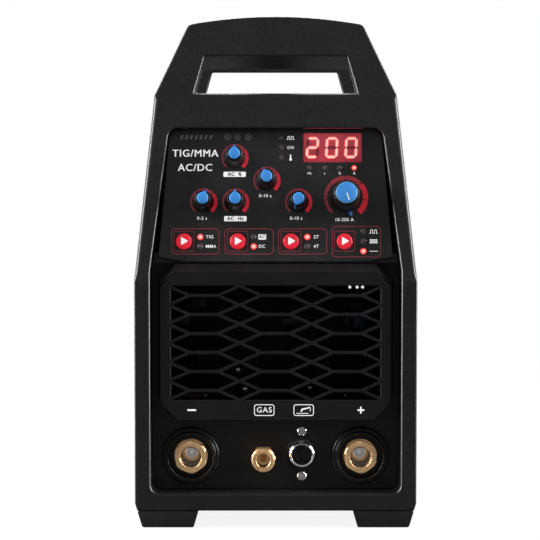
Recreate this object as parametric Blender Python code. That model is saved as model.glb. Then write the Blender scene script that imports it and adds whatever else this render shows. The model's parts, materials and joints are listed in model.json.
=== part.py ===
"""Portable TIG welding machine, as an assembly of separate pieces.

Units: the numbers below are millimetres, and MM turns them into Blender's metres.
Axes: X to the right, the front faces -Y, +Z up. The origin is on the floor, under the
middle of the machine.
"""

import math

import bmesh
import bpy
from mathutils import Matrix, Vector

MM = 0.001
GAP = 0.3  # clearance that touching pieces keep

# ---- Case ----------------------------------------------------------------------------
HALF_LENGTH = 170.0
HALF_WIDTH = 90.0
KINK_Z = 158.0  # above this the faces lean back and the sides lean in
LEAN = math.radians(11.0)
SIDE_SLOPE = 0.1037  # how far a side leans in per millimetre of height above the kink
SHOULDER = (77.8, 275.6)
HOOP_SIDE = [(66.9, 298.3), (57.8, 317.6), (56.2, 320.6)]
CROWN_Z = 326.2
CROWN_RADIUS = 309.0
FOOT_OUT = 85.3
FOOT_IN = 52.5
FOOT_ROOT_IN = 49.4
FOOT_H = 10.7
TAPER_Z = 15.5
BEZEL_BACK = 112.0  # distance from the middle to each bezel's inner end
WALL = 3.0
POCKET_TOP = 272.0
POCKET_LOW = FOOT_H + WALL

# ---- Recesses in the two end faces ---------------------------------------------------
RECESS_TOP_Z = 254.6
RECESS_BREAK_Z = 164.5
RECESS_BOTTOM_Z = 21.9
RECESS_TOP_HALF = 69.0
RECESS_MID_HALF = 79.9
RECESS_SHOULDER_Z = 248.7
STEP_Z = 168.9  # the upright plates end here, and a ledge runs out to the leaning ones
STEP_TOP_Z = 175.0
FRONT_FLOOR = 18.0  # depth of the front's lower recess
REAR_FLOOR = 20.0
FRONT_FLOOR_Y = FRONT_FLOOR - HALF_LENGTH
REAR_FLOOR_Y = HALF_LENGTH - REAR_FLOOR
PANEL_DEPTH = 8.15  # depth of the control panel's face
PANEL_THICK = 2.0
REAR_PANEL_DEPTH = 10.0

# ---- Handle --------------------------------------------------------------------------
OPENING_FRONT = [(-53.0, 275.8), (53.0, 275.8), (45.7, 300.9), (-45.7, 300.9)]
OPENING_INNER = [(-52.0, 277.0), (52.0, 277.0), (47.5, 292.9), (-47.5, 292.9)]
OPENING_INNER_Y = 117.0
GRIP_HALF_W = 17.0
GRIP_Z = (301.5, 325.0)

# ---- Sheet metal ---------------------------------------------------------------------
SHEET = 1.2
COVER_HALF_L = 118.0
TRAY_HALF_L = 146.4
LOUVRE_Z = (60.0, 100.0)
LOUVRE_W = 3.0
LOUVRE_PITCH = 9.0
LOUVRES = 9

# ---- Front grille --------------------------------------------------------------------
GRILLE_HALF = 73.9
GRILLE_Z = (68.6, 163.2)
GRILLE_FACE = 3.0  # depth of its face behind the bezel's front
GRILLE_TOP_CUT = (64.9, 154.2)
GRILLE_LOW_CUT = (62.8, 80.2)
GRILLE_HOLE = (66.8, 81.7, 155.0)
HOOD_Z = (67.6, 168.6)  # the box behind the grille's face is a little larger
HOOD_DEPTH = 9.8
HOOD_OUT = 1.0
CELL_DX = 22.9
CELL_DZ = 6.09
CELL_FLAT = 9.0
CELL_Z = 142.5
BAR_HALF = 1.0

# ---- Control panel: places are (x, z) on its leaning face -----------------------------
SMALL_KNOBS = {
    "balance": (-26.3, 235.8, 0.0),
    "slope": (-5.8, 221.4, -20.0),
    "preflow": (-46.3, 207.6, 20.0),
    "frequency": (-25.8, 207.6, 0.0),
    "postflow": (14.5, 207.6, -155.0),
}
CURRENT_KNOB = (44.8, 210.4, 163.0)
SMALL_KNOB_H = 19.0
CURRENT_KNOB_H = 23.5
CURRENT_CAP_R = 7.3
BUTTON_Z = 182.7
BUTTONS = {"process": -58.7, "polarity": -24.3, "trigger": 9.8, "pulse": 44.1}
BUTTON_R = 4.9
DISPLAY_X = (18.0, 55.1)
DISPLAY_Z = (233.1, 251.3)
BOARD_DEPTH = 12.0

# ---- Sockets: places are (x, z) on the lower recess's floor --------------------------
POWER_SOCKETS = {"minus": (-54.6, 43.9), "plus": (54.6, 43.9)}
GAS_OUTLET = (-7.9, 42.2)
TORCH_SOCKET = (16.9, 45.2)
TORCH_SCREW_DZ = 14.65
BRASS_AF = 19.8
BRASS_TURNED_R = 10.0
SOCKET_HOLE_R = 15.3

# ---- Rear ----------------------------------------------------------------------------
FAN_Z = 98.0
FAN_HALF = 59.7
FAN_DEPTH = 25.0
FAN_BORE_R = 56.0
BLADES = 7
GAS_INLET = (-70.7, 34.0)
EARTH_STUD = (70.7, 34.0)
SWITCH = (36.0, 205.0)
SWITCH_HALF = (11.0, 15.0)
ROCKER_TILT = math.radians(7.25)
GLAND = (-40.0, 205.0)

# Finishes: base colour, roughness, metallic
FINISHES = {
    "black_plastic": ((0.012, 0.012, 0.013), 0.42, 0.0),
    "black_paint": ((0.014, 0.014, 0.015), 0.5, 0.0),
    "rubber": ((0.02, 0.02, 0.021), 0.8, 0.0),
    "blue_plastic": ((0.045, 0.3, 0.82), 0.4, 0.0),
    "red_plastic": ((0.75, 0.03, 0.05), 0.35, 0.0),
    "red_lens": ((0.35, 0.01, 0.02), 0.15, 0.0),
    "brass": ((0.78, 0.55, 0.25), 0.3, 1.0),
    "steel": ((0.6, 0.6, 0.62), 0.3, 1.0),
    "chrome": ((0.8, 0.8, 0.82), 0.12, 1.0),
    "copper": ((0.85, 0.45, 0.3), 0.35, 1.0),
    "aluminium": ((0.7, 0.71, 0.73), 0.4, 1.0),
    "board": ((0.02, 0.16, 0.07), 0.5, 0.0),
    "core": ((0.05, 0.05, 0.055), 0.6, 0.0),
}


# ---- Basic helpers -------------------------------------------------------------------
def clear_scene():
    for obj in list(bpy.data.objects):
        bpy.data.objects.remove(obj, do_unlink=True)


def make_material(name, finish):
    colour, roughness, metallic = FINISHES[finish]
    material = bpy.data.materials.new(name)
    material.use_nodes = True
    shader = material.node_tree.nodes["Principled BSDF"]
    shader.inputs["Base Color"].default_value = (*colour, 1.0)
    shader.inputs["Roughness"].default_value = roughness
    shader.inputs["Metallic"].default_value = metallic
    return material


def link_mesh(name, bm):
    bmesh.ops.recalc_face_normals(bm, faces=bm.faces)
    if bm.calc_volume(signed=True) < 0:
        bmesh.ops.reverse_faces(bm, faces=bm.faces)
    mesh = bpy.data.meshes.new(name)
    bm.to_mesh(mesh)
    bm.free()
    obj = bpy.data.objects.new(name, mesh)
    bpy.context.scene.collection.objects.link(obj)
    return obj


def make_piece(name, bm, finish, place=(0, 0, 0), turn=(0, 0, 0), parent=None):
    """Adds one piece. place is in millimetres and turn in degrees, in its parent's frame."""
    obj = link_mesh(name, bm)
    obj.data.materials.append(make_material(name, finish))
    obj.data.shade_smooth()
    obj.data.set_sharp_from_angle(angle=math.radians(30))
    set_place(obj, place, turn, parent)
    return obj


def set_place(obj, place, turn, parent):
    obj.location = [value * MM for value in place]
    obj.rotation_euler = [math.radians(value) for value in turn]
    obj.parent = parent


def add_frame(name, place, turn):
    """An empty that pieces are placed on."""
    frame = bpy.data.objects.new(name, None)
    bpy.context.scene.collection.objects.link(frame)
    set_place(frame, place, turn, None)
    return frame


def change(obj, bm, operation, place=(0, 0, 0), turn=(0, 0, 0), parent=None):
    """Cuts a shape out of a piece, or joins it on, with a hidden helper."""
    helper = link_mesh(f"{obj.name}_{operation.lower()}_{len(obj.modifiers)}", bm)
    set_place(helper, place, turn, parent)
    helper.hide_render = True
    helper.display_type = "WIRE"
    modifier = obj.modifiers.new(helper.name, "BOOLEAN")
    modifier.operation = operation
    modifier.object = helper
    return helper


def cut(obj, bm, **where):
    return change(obj, bm, "DIFFERENCE", **where)


def join(obj, bm, **where):
    return change(obj, bm, "UNION", **where)


# ---- Shapes --------------------------------------------------------------------------
def loft(rings, closed=False):
    """A skin over rings of equal length, capped at both ends unless it closes on itself."""
    bm = bmesh.new()
    rows = [[bm.verts.new([value * MM for value in point]) for point in ring] for ring in rings]
    count = len(rows[0])
    pairs = list(zip(rows, rows[1:]))
    if closed:
        pairs.append((rows[-1], rows[0]))
    for low, high in pairs:
        for i in range(count):
            j = (i + 1) % count
            bm.faces.new((low[i], low[j], high[j], high[i]))
    if not closed:
        bm.faces.new(rows[0])
        bm.faces.new(rows[-1])
    return bm


def box(low, high):
    (x0, y0, z0), (x1, y1, z1) = low, high
    return loft([[(x0, y0, z), (x1, y0, z), (x1, y1, z), (x0, y1, z)] for z in (z0, z1)])


def boxes(pairs):
    """Several separate boxes in one mesh."""
    whole = bmesh.new()
    for low, high in pairs:
        merge(whole, box(low, high))
    return whole


def merge(whole, part):
    mesh = bpy.data.meshes.new("part")
    part.to_mesh(mesh)
    part.free()
    whole.from_mesh(mesh)
    bpy.data.meshes.remove(mesh)


def slab(outline, near, far, breaks=()):
    """An (x, z) outline run along Y, from near(z) to far(z), creased at the breaks."""
    bm = loft([[(x, y, z) for x, z in outline] for y in (0.0, 1.0)])
    for z in breaks:
        everything = bm.verts[:] + bm.edges[:] + bm.faces[:]
        bmesh.ops.bisect_plane(bm, geom=everything, plane_co=(0, 0, z * MM), plane_no=(0, 0, 1))
    for vert in bm.verts:
        side = far if vert.co.y > 0.5 * MM else near
        vert.co.y = side(vert.co.z / MM) * MM
    return bm


def at(y):
    return lambda z: y


def turned(profile, steps):
    """A closed (radius, height) profile turned about Z. A radius may be a function of angle."""
    rings = []
    for i in range(steps):
        angle = 2 * math.pi * i / steps
        ring = []
        for radius, height in profile:
            r = radius(angle) if callable(radius) else radius
            ring.append((r * math.cos(angle), r * math.sin(angle), height))
        rings.append(ring)
    bm = loft(rings, closed=True)
    bmesh.ops.remove_doubles(bm, verts=bm.verts, dist=0.01 * MM)
    loose = [edge for edge in bm.edges if not edge.link_faces]
    bmesh.ops.delete(bm, geom=loose, context="EDGES")
    return bm


def rod(radius, low, high, steps=16):
    return turned([(0, low), (radius, low), (radius, high), (0, high)], steps)


def hexagon(across_flats, turned_radius=None, corner=0.0):
    """The radius of a hexagon at each angle, with its corners turned down and one at corner."""

    def radius(angle):
        wedge = (angle - corner) % (math.pi / 3) - math.pi / 6
        flat = across_flats / 2 / math.cos(wedge)
        return min(flat, turned_radius) if turned_radius else flat

    return radius


def rounded(corners, radius, steps=3):
    """The polygon with each corner turned into an arc of a few points."""
    points = []
    for i, corner in enumerate(corners):
        here = Vector(corner)
        before = (Vector(corners[i - 1]) - here).normalized()
        after = (Vector(corners[(i + 1) % len(corners)]) - here).normalized()
        half = before.angle(after) / 2
        centre = (before + after).normalized() * (radius / math.sin(half))
        reach = radius / math.tan(half)
        start = before * reach - centre
        end = after * reach - centre
        for k in range(steps + 1):
            arm = (start * (1 - k / steps) + end * (k / steps)).normalized() * radius
            points.append(tuple(here + centre + arm))
    return points


def mirrored(right):
    """A closed outline from its right half, listed from bottom to top."""
    return list(right) + [(-x, z) for x, z in reversed(right)]


# ---- Case outlines -------------------------------------------------------------------
def lean(z):
    return max(0.0, (z - KINK_Z) * math.tan(LEAN))


def face(side, depth):
    """The y of a plane that lies this deep behind the front (side -1) or rear (side 1)."""
    return lambda z: side * (HALF_LENGTH - lean(z) - depth)


def case_half(z, inset):
    return HALF_WIDTH - inset - max(0.0, z - KINK_Z) * SIDE_SLOPE


def bezel_outline():
    crown = [(x, CROWN_Z - x * x / (2 * CROWN_RADIUS)) for x in (53.0, 40.0, 25.0, 9.0)]
    right = [(foot_side(FOOT_H), FOOT_H), (HALF_WIDTH, TAPER_Z), (HALF_WIDTH, KINK_Z), SHOULDER]
    return mirrored(right + HOOP_SIDE + crown)


def foot_side(z):
    """How far out the case's lower corner is, where it tapers down into a foot."""
    return FOOT_OUT + (HALF_WIDTH - FOOT_OUT) * z / TAPER_Z


def make_feet():
    """Four feet under the bezels' corners, which carry on the case's tapered sides."""
    high = FOOT_H - GAP
    outline = [(FOOT_ROOT_IN, high), (FOOT_IN, 0), (FOOT_OUT, 0), (foot_side(high), high)]
    for end, y in (("front", -HALF_LENGTH), ("rear", HALF_LENGTH)):
        back = math.copysign(BEZEL_BACK, y)
        make_piece(f"{end}_right_foot", slab(outline, at(y), at(back)), "black_plastic")
        left = [(-x, z) for x, z in outline]
        make_piece(f"{end}_left_foot", slab(left, at(y), at(back)), "black_plastic")


def inner_outline(inset, low, high):
    return mirrored([(case_half(z, inset), z) for z in (low, KINK_Z, high)])


def recess_outline():
    right = [
        (RECESS_MID_HALF - 5, RECESS_BOTTOM_Z),
        (RECESS_MID_HALF, RECESS_BOTTOM_Z + 5),
        (RECESS_MID_HALF, RECESS_BREAK_Z),
        (RECESS_TOP_HALF, RECESS_SHOULDER_Z),
        (RECESS_TOP_HALF - 3, RECESS_TOP_Z - 1.5),
        (RECESS_TOP_HALF - 7, RECESS_TOP_Z),
    ]
    return mirrored(right)


def recess_half(z):
    """Half the recess's width, between its lower and upper corners."""
    share = max(0.0, (z - RECESS_BREAK_Z) / (RECESS_SHOULDER_Z - RECESS_BREAK_Z))
    return RECESS_MID_HALF - (RECESS_MID_HALF - RECESS_TOP_HALF) * share


# ---- Bezels --------------------------------------------------------------------------
def make_bezel(name, side, low_depth, high_depth):
    """A frame round an open recess, with a skirt behind it and a hoop for the hand on top."""
    shape = slab(bezel_outline(), face(side, 0), at(side * BEZEL_BACK), [KINK_Z])
    bezel = make_piece(name, shape, "black_plastic")
    cut(bezel, pocket(side, low_depth, high_depth))
    past = side * (HALF_LENGTH + 10)
    cut(bezel, slab(recess_outline(), at(past), at(side * (BEZEL_BACK + 20))))
    cut(bezel, hoop_opening(side))


def pocket(side, low_depth, high_depth):
    """The hollow behind a bezel's face: upright low down, and leaning with the face above."""
    upright = HALF_LENGTH - low_depth - WALL
    crease = KINK_Z + (low_depth - high_depth) / math.tan(LEAN)

    def front(z):
        return side * min(upright, HALF_LENGTH - lean(z) - high_depth - WALL)

    outline = inner_outline(WALL, POCKET_LOW, POCKET_TOP)
    return slab(outline, front, at(side * (BEZEL_BACK - 5)), [KINK_Z, crease])


def hoop_opening(side):
    """The hand opening narrows from the face to an inner rim, then flares a little."""
    outer = rounded(OPENING_FRONT, 3.5)
    inner = rounded(OPENING_INNER, 3.5)
    face_y = face(side, 0)
    rim = [(x, side * OPENING_INNER_Y, z) for x, z in inner]
    mouth = [(x, face_y(z), z) for x, z in outer]
    beyond = [tuple(1.4 * m - 0.4 * r for m, r in zip(a, b)) for a, b in zip(mouth, rim)]
    back = [(x * 1.01, side * (BEZEL_BACK - 5), z) for x, y, z in rim]
    return loft([beyond, mouth, rim, back])


# ---- Plates that close the recesses ---------------------------------------------------
def low_plate_outline(top):
    """The recess's lower part, up to this height, with clearance all round."""
    half = RECESS_MID_HALF - GAP
    low = RECESS_BOTTOM_Z + GAP
    right = [(half - 5, low), (half, low + 5), (half, RECESS_BREAK_Z), (recess_half(top) - GAP, top)]
    return mirrored(right)


def ledge(low, high, near, far):
    """A bar right across the recess, between these heights."""
    half = recess_half(high) - 2 * GAP
    return slab(mirrored([(half, low), (half, high)]), near, far)


def make_front_plate():
    """The upright plate that holds the sockets, with a ledge that stands behind the panel."""
    shape = slab(low_plate_outline(STEP_TOP_Z - 1), at(FRONT_FLOOR_Y), at(FRONT_FLOOR_Y + WALL))
    plate = make_piece("front_plate", shape, "black_plastic")
    panel_back = face(-1, PANEL_DEPTH + PANEL_THICK + GAP)
    join(plate, ledge(STEP_Z, STEP_TOP_Z, panel_back, at(FRONT_FLOOR_Y + 1)))
    half, low, high = GRILLE_HOLE
    cut(plate, box((-half, FRONT_FLOOR_Y - 5, low), (half, FRONT_FLOOR_Y + WALL + 5, high)))
    holes = [(place, SOCKET_HOLE_R, 24) for place in POWER_SOCKETS.values()]
    holes += [(GAS_OUTLET, 6.3, 16), (TORCH_SOCKET, 8.2, 16)]
    x, z = TORCH_SOCKET
    holes += [((x, z + dz), 1.9, 8) for dz in (-TORCH_SCREW_DZ, TORCH_SCREW_DZ)]
    for place, radius, steps in holes:
        cut(plate, rod(radius, -8, 4, steps), **on_floor(place))


def make_rear_plates(frame):
    """The upright plate that holds the fan, and the leaning one that holds the switch."""
    shape = slab(low_plate_outline(STEP_Z - 1), at(REAR_FLOOR_Y - WALL), at(REAR_FLOOR_Y))
    plate = make_piece("rear_plate", shape, "black_paint")
    join(plate, ledge(STEP_Z - WALL, STEP_Z, face(1, REAR_PANEL_DEPTH), at(REAR_FLOOR_Y - 1)))
    holes = (((0, FAN_Z), FAN_BORE_R, 32), (GAS_INLET, 5.3, 12), (EARTH_STUD, 5.3, 12))
    for place, radius, steps in holes:
        cut(plate, rod(radius, -8, 4, steps), **on_rear_floor(place))
    low = STEP_Z + 2 * GAP
    top = RECESS_TOP_Z - GAP
    right = [(recess_half(low) - GAP, low), (RECESS_TOP_HALF - GAP, RECESS_SHOULDER_Z)]
    right += [(RECESS_TOP_HALF - 3 - GAP, top - 1.5), (RECESS_TOP_HALF - 7 - GAP, top)]
    outline = mirrored([panel_place(x, z)[:2] for x, z in right])
    rings = [[(x, v, depth) for x, v in outline] for depth in (-WALL, 0)]
    upper = make_piece("rear_panel", loft(rings), "black_paint", parent=frame)
    x, z = SWITCH
    dx, dv = SWITCH_HALF
    opening = box((-dx - GAP, -dv - GAP, -9), (dx + GAP, dv + GAP, 4))
    cut(upper, opening, place=panel_place(-x, z), parent=frame)
    cut(upper, rod(8.3, -9, 4), place=panel_place(-GLAND[0], GLAND[1]), parent=frame)


# ---- Leaning frames ------------------------------------------------------------------
def panel_place(x, z, out=0.0):
    """A place on a leaning face, in the frame of that face's empty at the kink's height."""
    return (x, (z - KINK_Z) / math.cos(LEAN), out)


def make_front_frame():
    """Local X is right, Y runs up the control panel, Z stands out of its face."""
    place = (0, -HALF_LENGTH + PANEL_DEPTH, KINK_Z)
    return add_frame("front_panel_frame", place, (90 - math.degrees(LEAN), 0, 0))


def make_rear_frame():
    """The same on the rear face, seen from behind, so its local X points to -X."""
    place = (0, HALF_LENGTH - REAR_PANEL_DEPTH, KINK_Z)
    return add_frame("rear_panel_frame", place, (90 - math.degrees(LEAN), 0, 180))


# ---- Cover, tray and handle ----------------------------------------------------------
def make_cover():
    top = POCKET_TOP - GAP - 0.4
    inset = WALL + GAP
    outer = [(case_half(z, inset), z) for z in (POCKET_LOW + GAP, KINK_Z, top)]
    inner = [(case_half(z, inset + SHEET), z) for z in (POCKET_LOW + GAP, KINK_Z, top - SHEET)]
    outline = outer + [(-x, z) for x, z in reversed(outer)]
    outline += inner_left_to_right(inner)
    shape = slab(outline, at(-COVER_HALF_L), at(COVER_HALF_L))
    cover = make_piece("top_cover", shape, "black_paint")
    cut(cover, louvres())


def inner_left_to_right(inner):
    return [(-x, z) for x, z in inner] + list(reversed(inner))


def louvres():
    """Upright slots through both sides, near the front."""
    low, high = LOUVRE_Z
    slots = []
    for side in (-1, 1):
        for i in range(LOUVRES):
            y = -COVER_HALF_L + 30 + i * LOUVRE_PITCH
            x0, x1 = sorted((side * 80, side * 95))
            slots.append(((x0, y, low), (x1, y + LOUVRE_W, high)))
    return boxes(slots)


def make_tray():
    out = HALF_WIDTH - WALL - GAP - SHEET - GAP
    low = POCKET_LOW + GAP
    rim = [(out, low), (out, low + 14), (out - SHEET, low + 14), (out - SHEET, low + SHEET)]
    shape = slab(mirrored(rim), at(-TRAY_HALF_L), at(TRAY_HALF_L))
    make_piece("base_tray", shape, "steel")


def make_handle():
    """The bar between the two hoops."""
    low, high = GRIP_Z
    right = [(GRIP_HALF_W - 2, low), (GRIP_HALF_W, high - 6), (GRIP_HALF_W - 4, high)]
    outline = rounded(mirrored(right), 3.0, 2)
    reach = BEZEL_BACK - GAP
    make_piece("handle_grip", slab(outline, at(-reach), at(reach)), "rubber")


# ---- Front grille --------------------------------------------------------------------
def clip(polygon, keep):
    """The part of a convex polygon where keep(x, z) is not negative."""
    result = []
    for i, here in enumerate(polygon):
        there = polygon[(i + 1) % len(polygon)]
        a = keep(*here)
        b = keep(*there)
        if a >= 0:
            result.append(here)
        if a * b < 0:
            mix = a / (a - b)
            result.append(tuple(p + (q - p) * mix for p, q in zip(here, there)))
    return result


def cell(centre_x, centre_z, flat):
    """One opening of the honeycomb: a hexagon, or a diamond where flat is nought."""
    reach = CELL_DX - CELL_FLAT + flat
    slope = math.hypot(CELL_DX - CELL_FLAT, CELL_DZ)
    side = BAR_HALF * slope / CELL_DZ
    top = BAR_HALF if flat else BAR_HALF * slope / (CELL_DX - CELL_FLAT)
    half_x = reach - side
    half_z = CELL_DZ - top
    shape = [(half_x, 0), (0, half_z), (-half_x, 0), (0, -half_z)]
    if flat:
        corner = half_x - half_z * (CELL_DX - CELL_FLAT) / CELL_DZ
        shape = [(half_x, 0), (corner, half_z), (-corner, half_z)]
        shape += [(-half_x, 0), (-corner, -half_z), (corner, -half_z)]
    return [(centre_x + x, centre_z + z) for x, z in shape]


def grille_cells():
    """Hexagons in columns, with diamonds between them, trimmed to the opening."""
    half, low, high = GRILLE_HOLE
    cells = []
    for row in range(-6, 3):
        z = CELL_Z + row * 2 * CELL_DZ
        for column in (-2, 0, 2):
            cells.append(cell(column * CELL_DX, z, CELL_FLAT))
        for column in (-3, -1, 1, 3):
            cells.append(cell(column * CELL_DX, z + CELL_DZ, 0.0))
    edges = [
        lambda x, z: half - x,
        lambda x, z: half + x,
        lambda x, z: z - low,
        lambda x, z: high - z,
    ]
    for edge in edges:
        cells = [clip(polygon, edge) for polygon in cells]
    return [polygon for polygon in cells if len(polygon) > 2 and extent(polygon) > 2.0]


def extent(polygon):
    return min(max(c) - min(c) for c in zip(*polygon))


def grille_outline(out, low, high):
    """The plate's octagon, let out sideways, between two heights."""
    (low_x, low_z), (top_x, top_z) = GRILLE_LOW_CUT, GRILLE_TOP_CUT
    side = GRILLE_HALF + out
    right = [(low_x + out, low), (side, low_z), (side, top_z + high - GRILLE_Z[1]), (top_x, high)]
    return mirrored(right)


def make_grille():
    """A plate with a honeycomb, and the box behind it, whose top slopes up to the panel."""
    front = -HALF_LENGTH + GRILLE_FACE
    floor = FRONT_FLOOR_Y - GAP
    plate = grille_outline(0, *GRILLE_Z)
    hood = grille_outline(HOOD_OUT, *HOOD_Z)
    hood_y = HOOD_DEPTH - HALF_LENGTH
    places = ((plate, front), (plate, front + 0.6), (hood, hood_y), (hood, floor))
    rings = [[(x, y, z) for x, z in outline] for outline, y in places]
    grille = make_piece("front_grille", loft(rings), "black_plastic")
    openings = bmesh.new()
    for polygon in grille_cells():
        merge(openings, slab(polygon, at(front - 2), at(front + 6)))
    half, low, high = GRILLE_HOLE
    cut(grille, box((-half, front + 5, low), (half, floor + 2, high)))
    cut(grille, openings)


# ---- Control panel -------------------------------------------------------------------
def make_control_panel(frame):
    top = RECESS_TOP_Z - GAP
    scale = 1 / math.cos(LEAN)
    right = [
        (58.3, STEP_Z + 0.9),
        (75.0, 172.9),
        (RECESS_TOP_HALF - GAP, RECESS_SHOULDER_Z),
        (RECESS_TOP_HALF - 3 - GAP, top - 1.5),
        (RECESS_TOP_HALF - 7 - GAP, top),
    ]
    outline = mirrored([(x, (z - KINK_Z) * scale) for x, z in right])
    rings = [[(x, v, depth) for x, v in outline] for depth in (-PANEL_THICK, 0)]
    panel = make_piece("control_panel", loft(rings), "black_plastic", parent=frame)
    knobs = [place[:2] for place in SMALL_KNOBS.values()] + [CURRENT_KNOB[:2]]
    for x, z in knobs:
        cut(panel, rod(3.6, -4, 2, 12), place=panel_place(x, z), parent=frame)
    for x in BUTTONS.values():
        cut(panel, rod(BUTTON_R + GAP, -4, 2), place=panel_place(x, BUTTON_Z), parent=frame)
    cut(panel, display_block(-4, 2, 0.0), parent=frame)


def display_block(low, high, inset):
    x0, x1 = DISPLAY_X
    v0, v1 = [panel_place(0, z)[1] for z in DISPLAY_Z]
    return box((x0 + inset, v0 + inset, low), (x1 - inset, v1 - inset, high))


def make_control_board(frame):
    low = panel_place(0, 178.0)[1]
    high = panel_place(0, 252.0)[1]
    front = -BOARD_DEPTH
    board = make_piece(
        "control_board", box((-62, low, front - 1.6), (62, high, front)), "board", parent=frame
    )
    parts = []
    knobs = [place[:2] for place in SMALL_KNOBS.values()] + [CURRENT_KNOB[:2]]
    for x, z in knobs:
        v = panel_place(x, z)[1]
        parts.append(((x - 6, v - 6, front - 0.5), (x + 6, v + 6, -4)))
    for x in BUTTONS.values():
        v = panel_place(x, BUTTON_Z)[1]
        parts.append(((x - 3, v - 3, front - 0.5), (x + 3, v + 3, -8)))
    join(board, boxes(parts), parent=frame)
    join(board, display_block(front - 0.5, -3.0, 0.5), parent=frame)


def make_display(frame):
    make_piece("display_window", display_block(-1.6, 0.0, GAP), "red_lens", parent=frame)


def make_knob(name, place, frame, base_r, top_r, cap_r, height, steps):
    """A knob on its shaft, and its coloured cap with a pointer. Up is a turn of nought."""
    x, z, turn = place
    bore = 1.8
    body = [
        (0, -3.7), (3.0, -3.7), (3.0, 0.5), (base_r, 0.5), (base_r, 3.0), (top_r + 0.6, 4.2),
        (top_r, height - 1.6), (bore, height - 1.6), (bore, height - 6), (0, height - 6),
    ]
    where = panel_place(x, z)
    make_piece(f"{name}_knob", turned(body, steps), "black_plastic", where, (0, 0, -turn), frame)
    low = height - 1.6 + GAP
    cap = [(0, height - 5.5), (1.4, height - 5.5), (1.4, low), (pointer(cap_r), low)]
    cap += [(pointer(cap_r), height - 0.4), (cap_r - 0.4, height), (0, height)]
    make_piece(f"{name}_knob_cap", turned(cap, 16), "blue_plastic", where, (0, 0, -turn), frame)


def pointer(radius):
    """A disc with one point standing out at the top."""
    return lambda angle: radius + 1.1 if abs(angle - math.pi / 2) < 0.01 else radius


def make_knobs(frame):
    for name, place in SMALL_KNOBS.items():
        make_knob(name, place, frame, 6.6, 5.2, 3.9, SMALL_KNOB_H, 16)
    make_knob("current", CURRENT_KNOB, frame, 8.8, 8.4, CURRENT_CAP_R, CURRENT_KNOB_H, 20)


def make_buttons(frame):
    profile = [(0, -6.4), (3.5, -6.4), (3.5, -3.8), (5.9, -3.8), (5.9, -2.6), (BUTTON_R, -2.6)]
    profile += [(BUTTON_R, 0.9), (BUTTON_R - 0.6, 1.5), (0, 1.7)]
    for name, x in BUTTONS.items():
        where = panel_place(x, BUTTON_Z)
        make_piece(f"{name}_button", turned(profile, 12), "red_plastic", where, parent=frame)


# ---- Front sockets: local Z stands out of the recess's floor --------------------------
def on_floor(place):
    return {"place": (place[0], FRONT_FLOOR_Y, place[1]), "turn": (90, 0, 0)}


def make_power_socket(name, place):
    rim = [(12, -22), (15, -22), (15, GAP), (18.5, GAP), (18.5, 3.4), (17.8, 4.2), (15.9, 4.4)]
    rim += [(15.7, 8.0), (14.3, 8.0), (14.0, 1.0), (12, 1.0)]
    make_piece(f"{name}_socket_insulator", turned(rim, 20), "black_plastic", **on_floor(place))
    flats = hexagon(BRASS_AF, BRASS_TURNED_R + 0.6, math.pi / 2)
    body = [(4.3, -26), (11.6, -26), (11.6, 1.3), (flats, 1.4), (flats, 8.4)]
    body += [(BRASS_TURNED_R - 0.9, 9.0), (7.1, 9.0), (6.5, 8.4), (6.5, -14), (4.3, -14.5)]
    make_piece(f"{name}_socket_brass", turned(body, 24), "brass", **on_floor(place))
    head = hexagon(13.0)
    bolt = [(0, -35), (head, -35), (head, -29.4), (4.0, -29.4), (4.0, -14), (3.4, -12.4)]
    bolt += [(2.2, -11.2), (0, -10.8)]
    make_piece(f"{name}_socket_bolt", turned(bolt, 12), "steel", **on_floor(place))


def make_gas_outlet():
    body = [(2, -26), (4, -26), (4, -14), (6, -14), (6, 5.3), (7.5, 5.3), (7.5, 12.2), (6.8, 13)]
    body += [(4.9, 13), (4.3, 12.4), (4.3, 4), (2, 3.6)]
    make_piece("gas_outlet", turned(body, 16), "brass", **on_floor(GAS_OUTLET))
    flats = hexagon(14.4, 8.2)
    nut = [(6.3, GAP), (flats, GAP), (flats, 5.0), (6.3, 5.0)]
    make_piece("gas_outlet_nut", turned(nut, 24), "brass", **on_floor(GAS_OUTLET))


def make_torch_socket():
    shell = [(6, -13), (7.9, -13), (7.9, GAP), (8.9, GAP), (8.9, 1.0), (8.2, 1.2)]
    shell += [(8.2, 8.6), (7.8, 9), (6.4, 9), (6, 8.6)]
    make_piece("torch_socket_shell", turned(shell, 18), "chrome", **on_floor(TORCH_SOCKET))
    insert = rod(5.7, -12, 3.6, 20)
    make_piece("torch_socket_insert", insert, "black_plastic", **on_floor(TORCH_SOCKET))
    screw = [(0, -8), (1.5, -8), (1.5, GAP), (3.1, GAP), (3.1, 2.0), (2.6, 2.6)]
    screw += [(1.4, 2.6), (1.4, 1.2), (0, 1.2)]
    for name, dz in (("upper", TORCH_SCREW_DZ), ("lower", -TORCH_SCREW_DZ)):
        place = (TORCH_SOCKET[0], TORCH_SOCKET[1] + dz)
        make_piece(f"torch_socket_{name}_screw", turned(screw, 12), "steel", **on_floor(place))


# ---- Rear pieces ---------------------------------------------------------------------
def on_rear_floor(place, out=0.0):
    return {"place": (place[0], REAR_FLOOR_Y + out, place[1]), "turn": (-90, 0, 0)}


def make_fan():
    back = REAR_FLOOR_Y - WALL - 0.5
    front = back - FAN_DEPTH
    half = FAN_HALF
    body = box((-half, front, FAN_Z - half), (half, back, FAN_Z + half))
    frame = make_piece("fan_frame", body, "black_plastic")
    cut(frame, rod(57.5, -40, 40, 32), place=(0, back - 10, FAN_Z), turn=(90, 0, 0))
    for across, up in ((58.5, 3), (3, 58.5)):
        arm = box((-across, front + 0.5, FAN_Z - up), (across, front + 3, FAN_Z + up))
        join(frame, arm)
    join(frame, rod(20, -1.5, 1.2, 20), place=(0, front + 2, FAN_Z), turn=(90, 0, 0))
    make_rotor(front + 4, back)
    make_guard()


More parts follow.
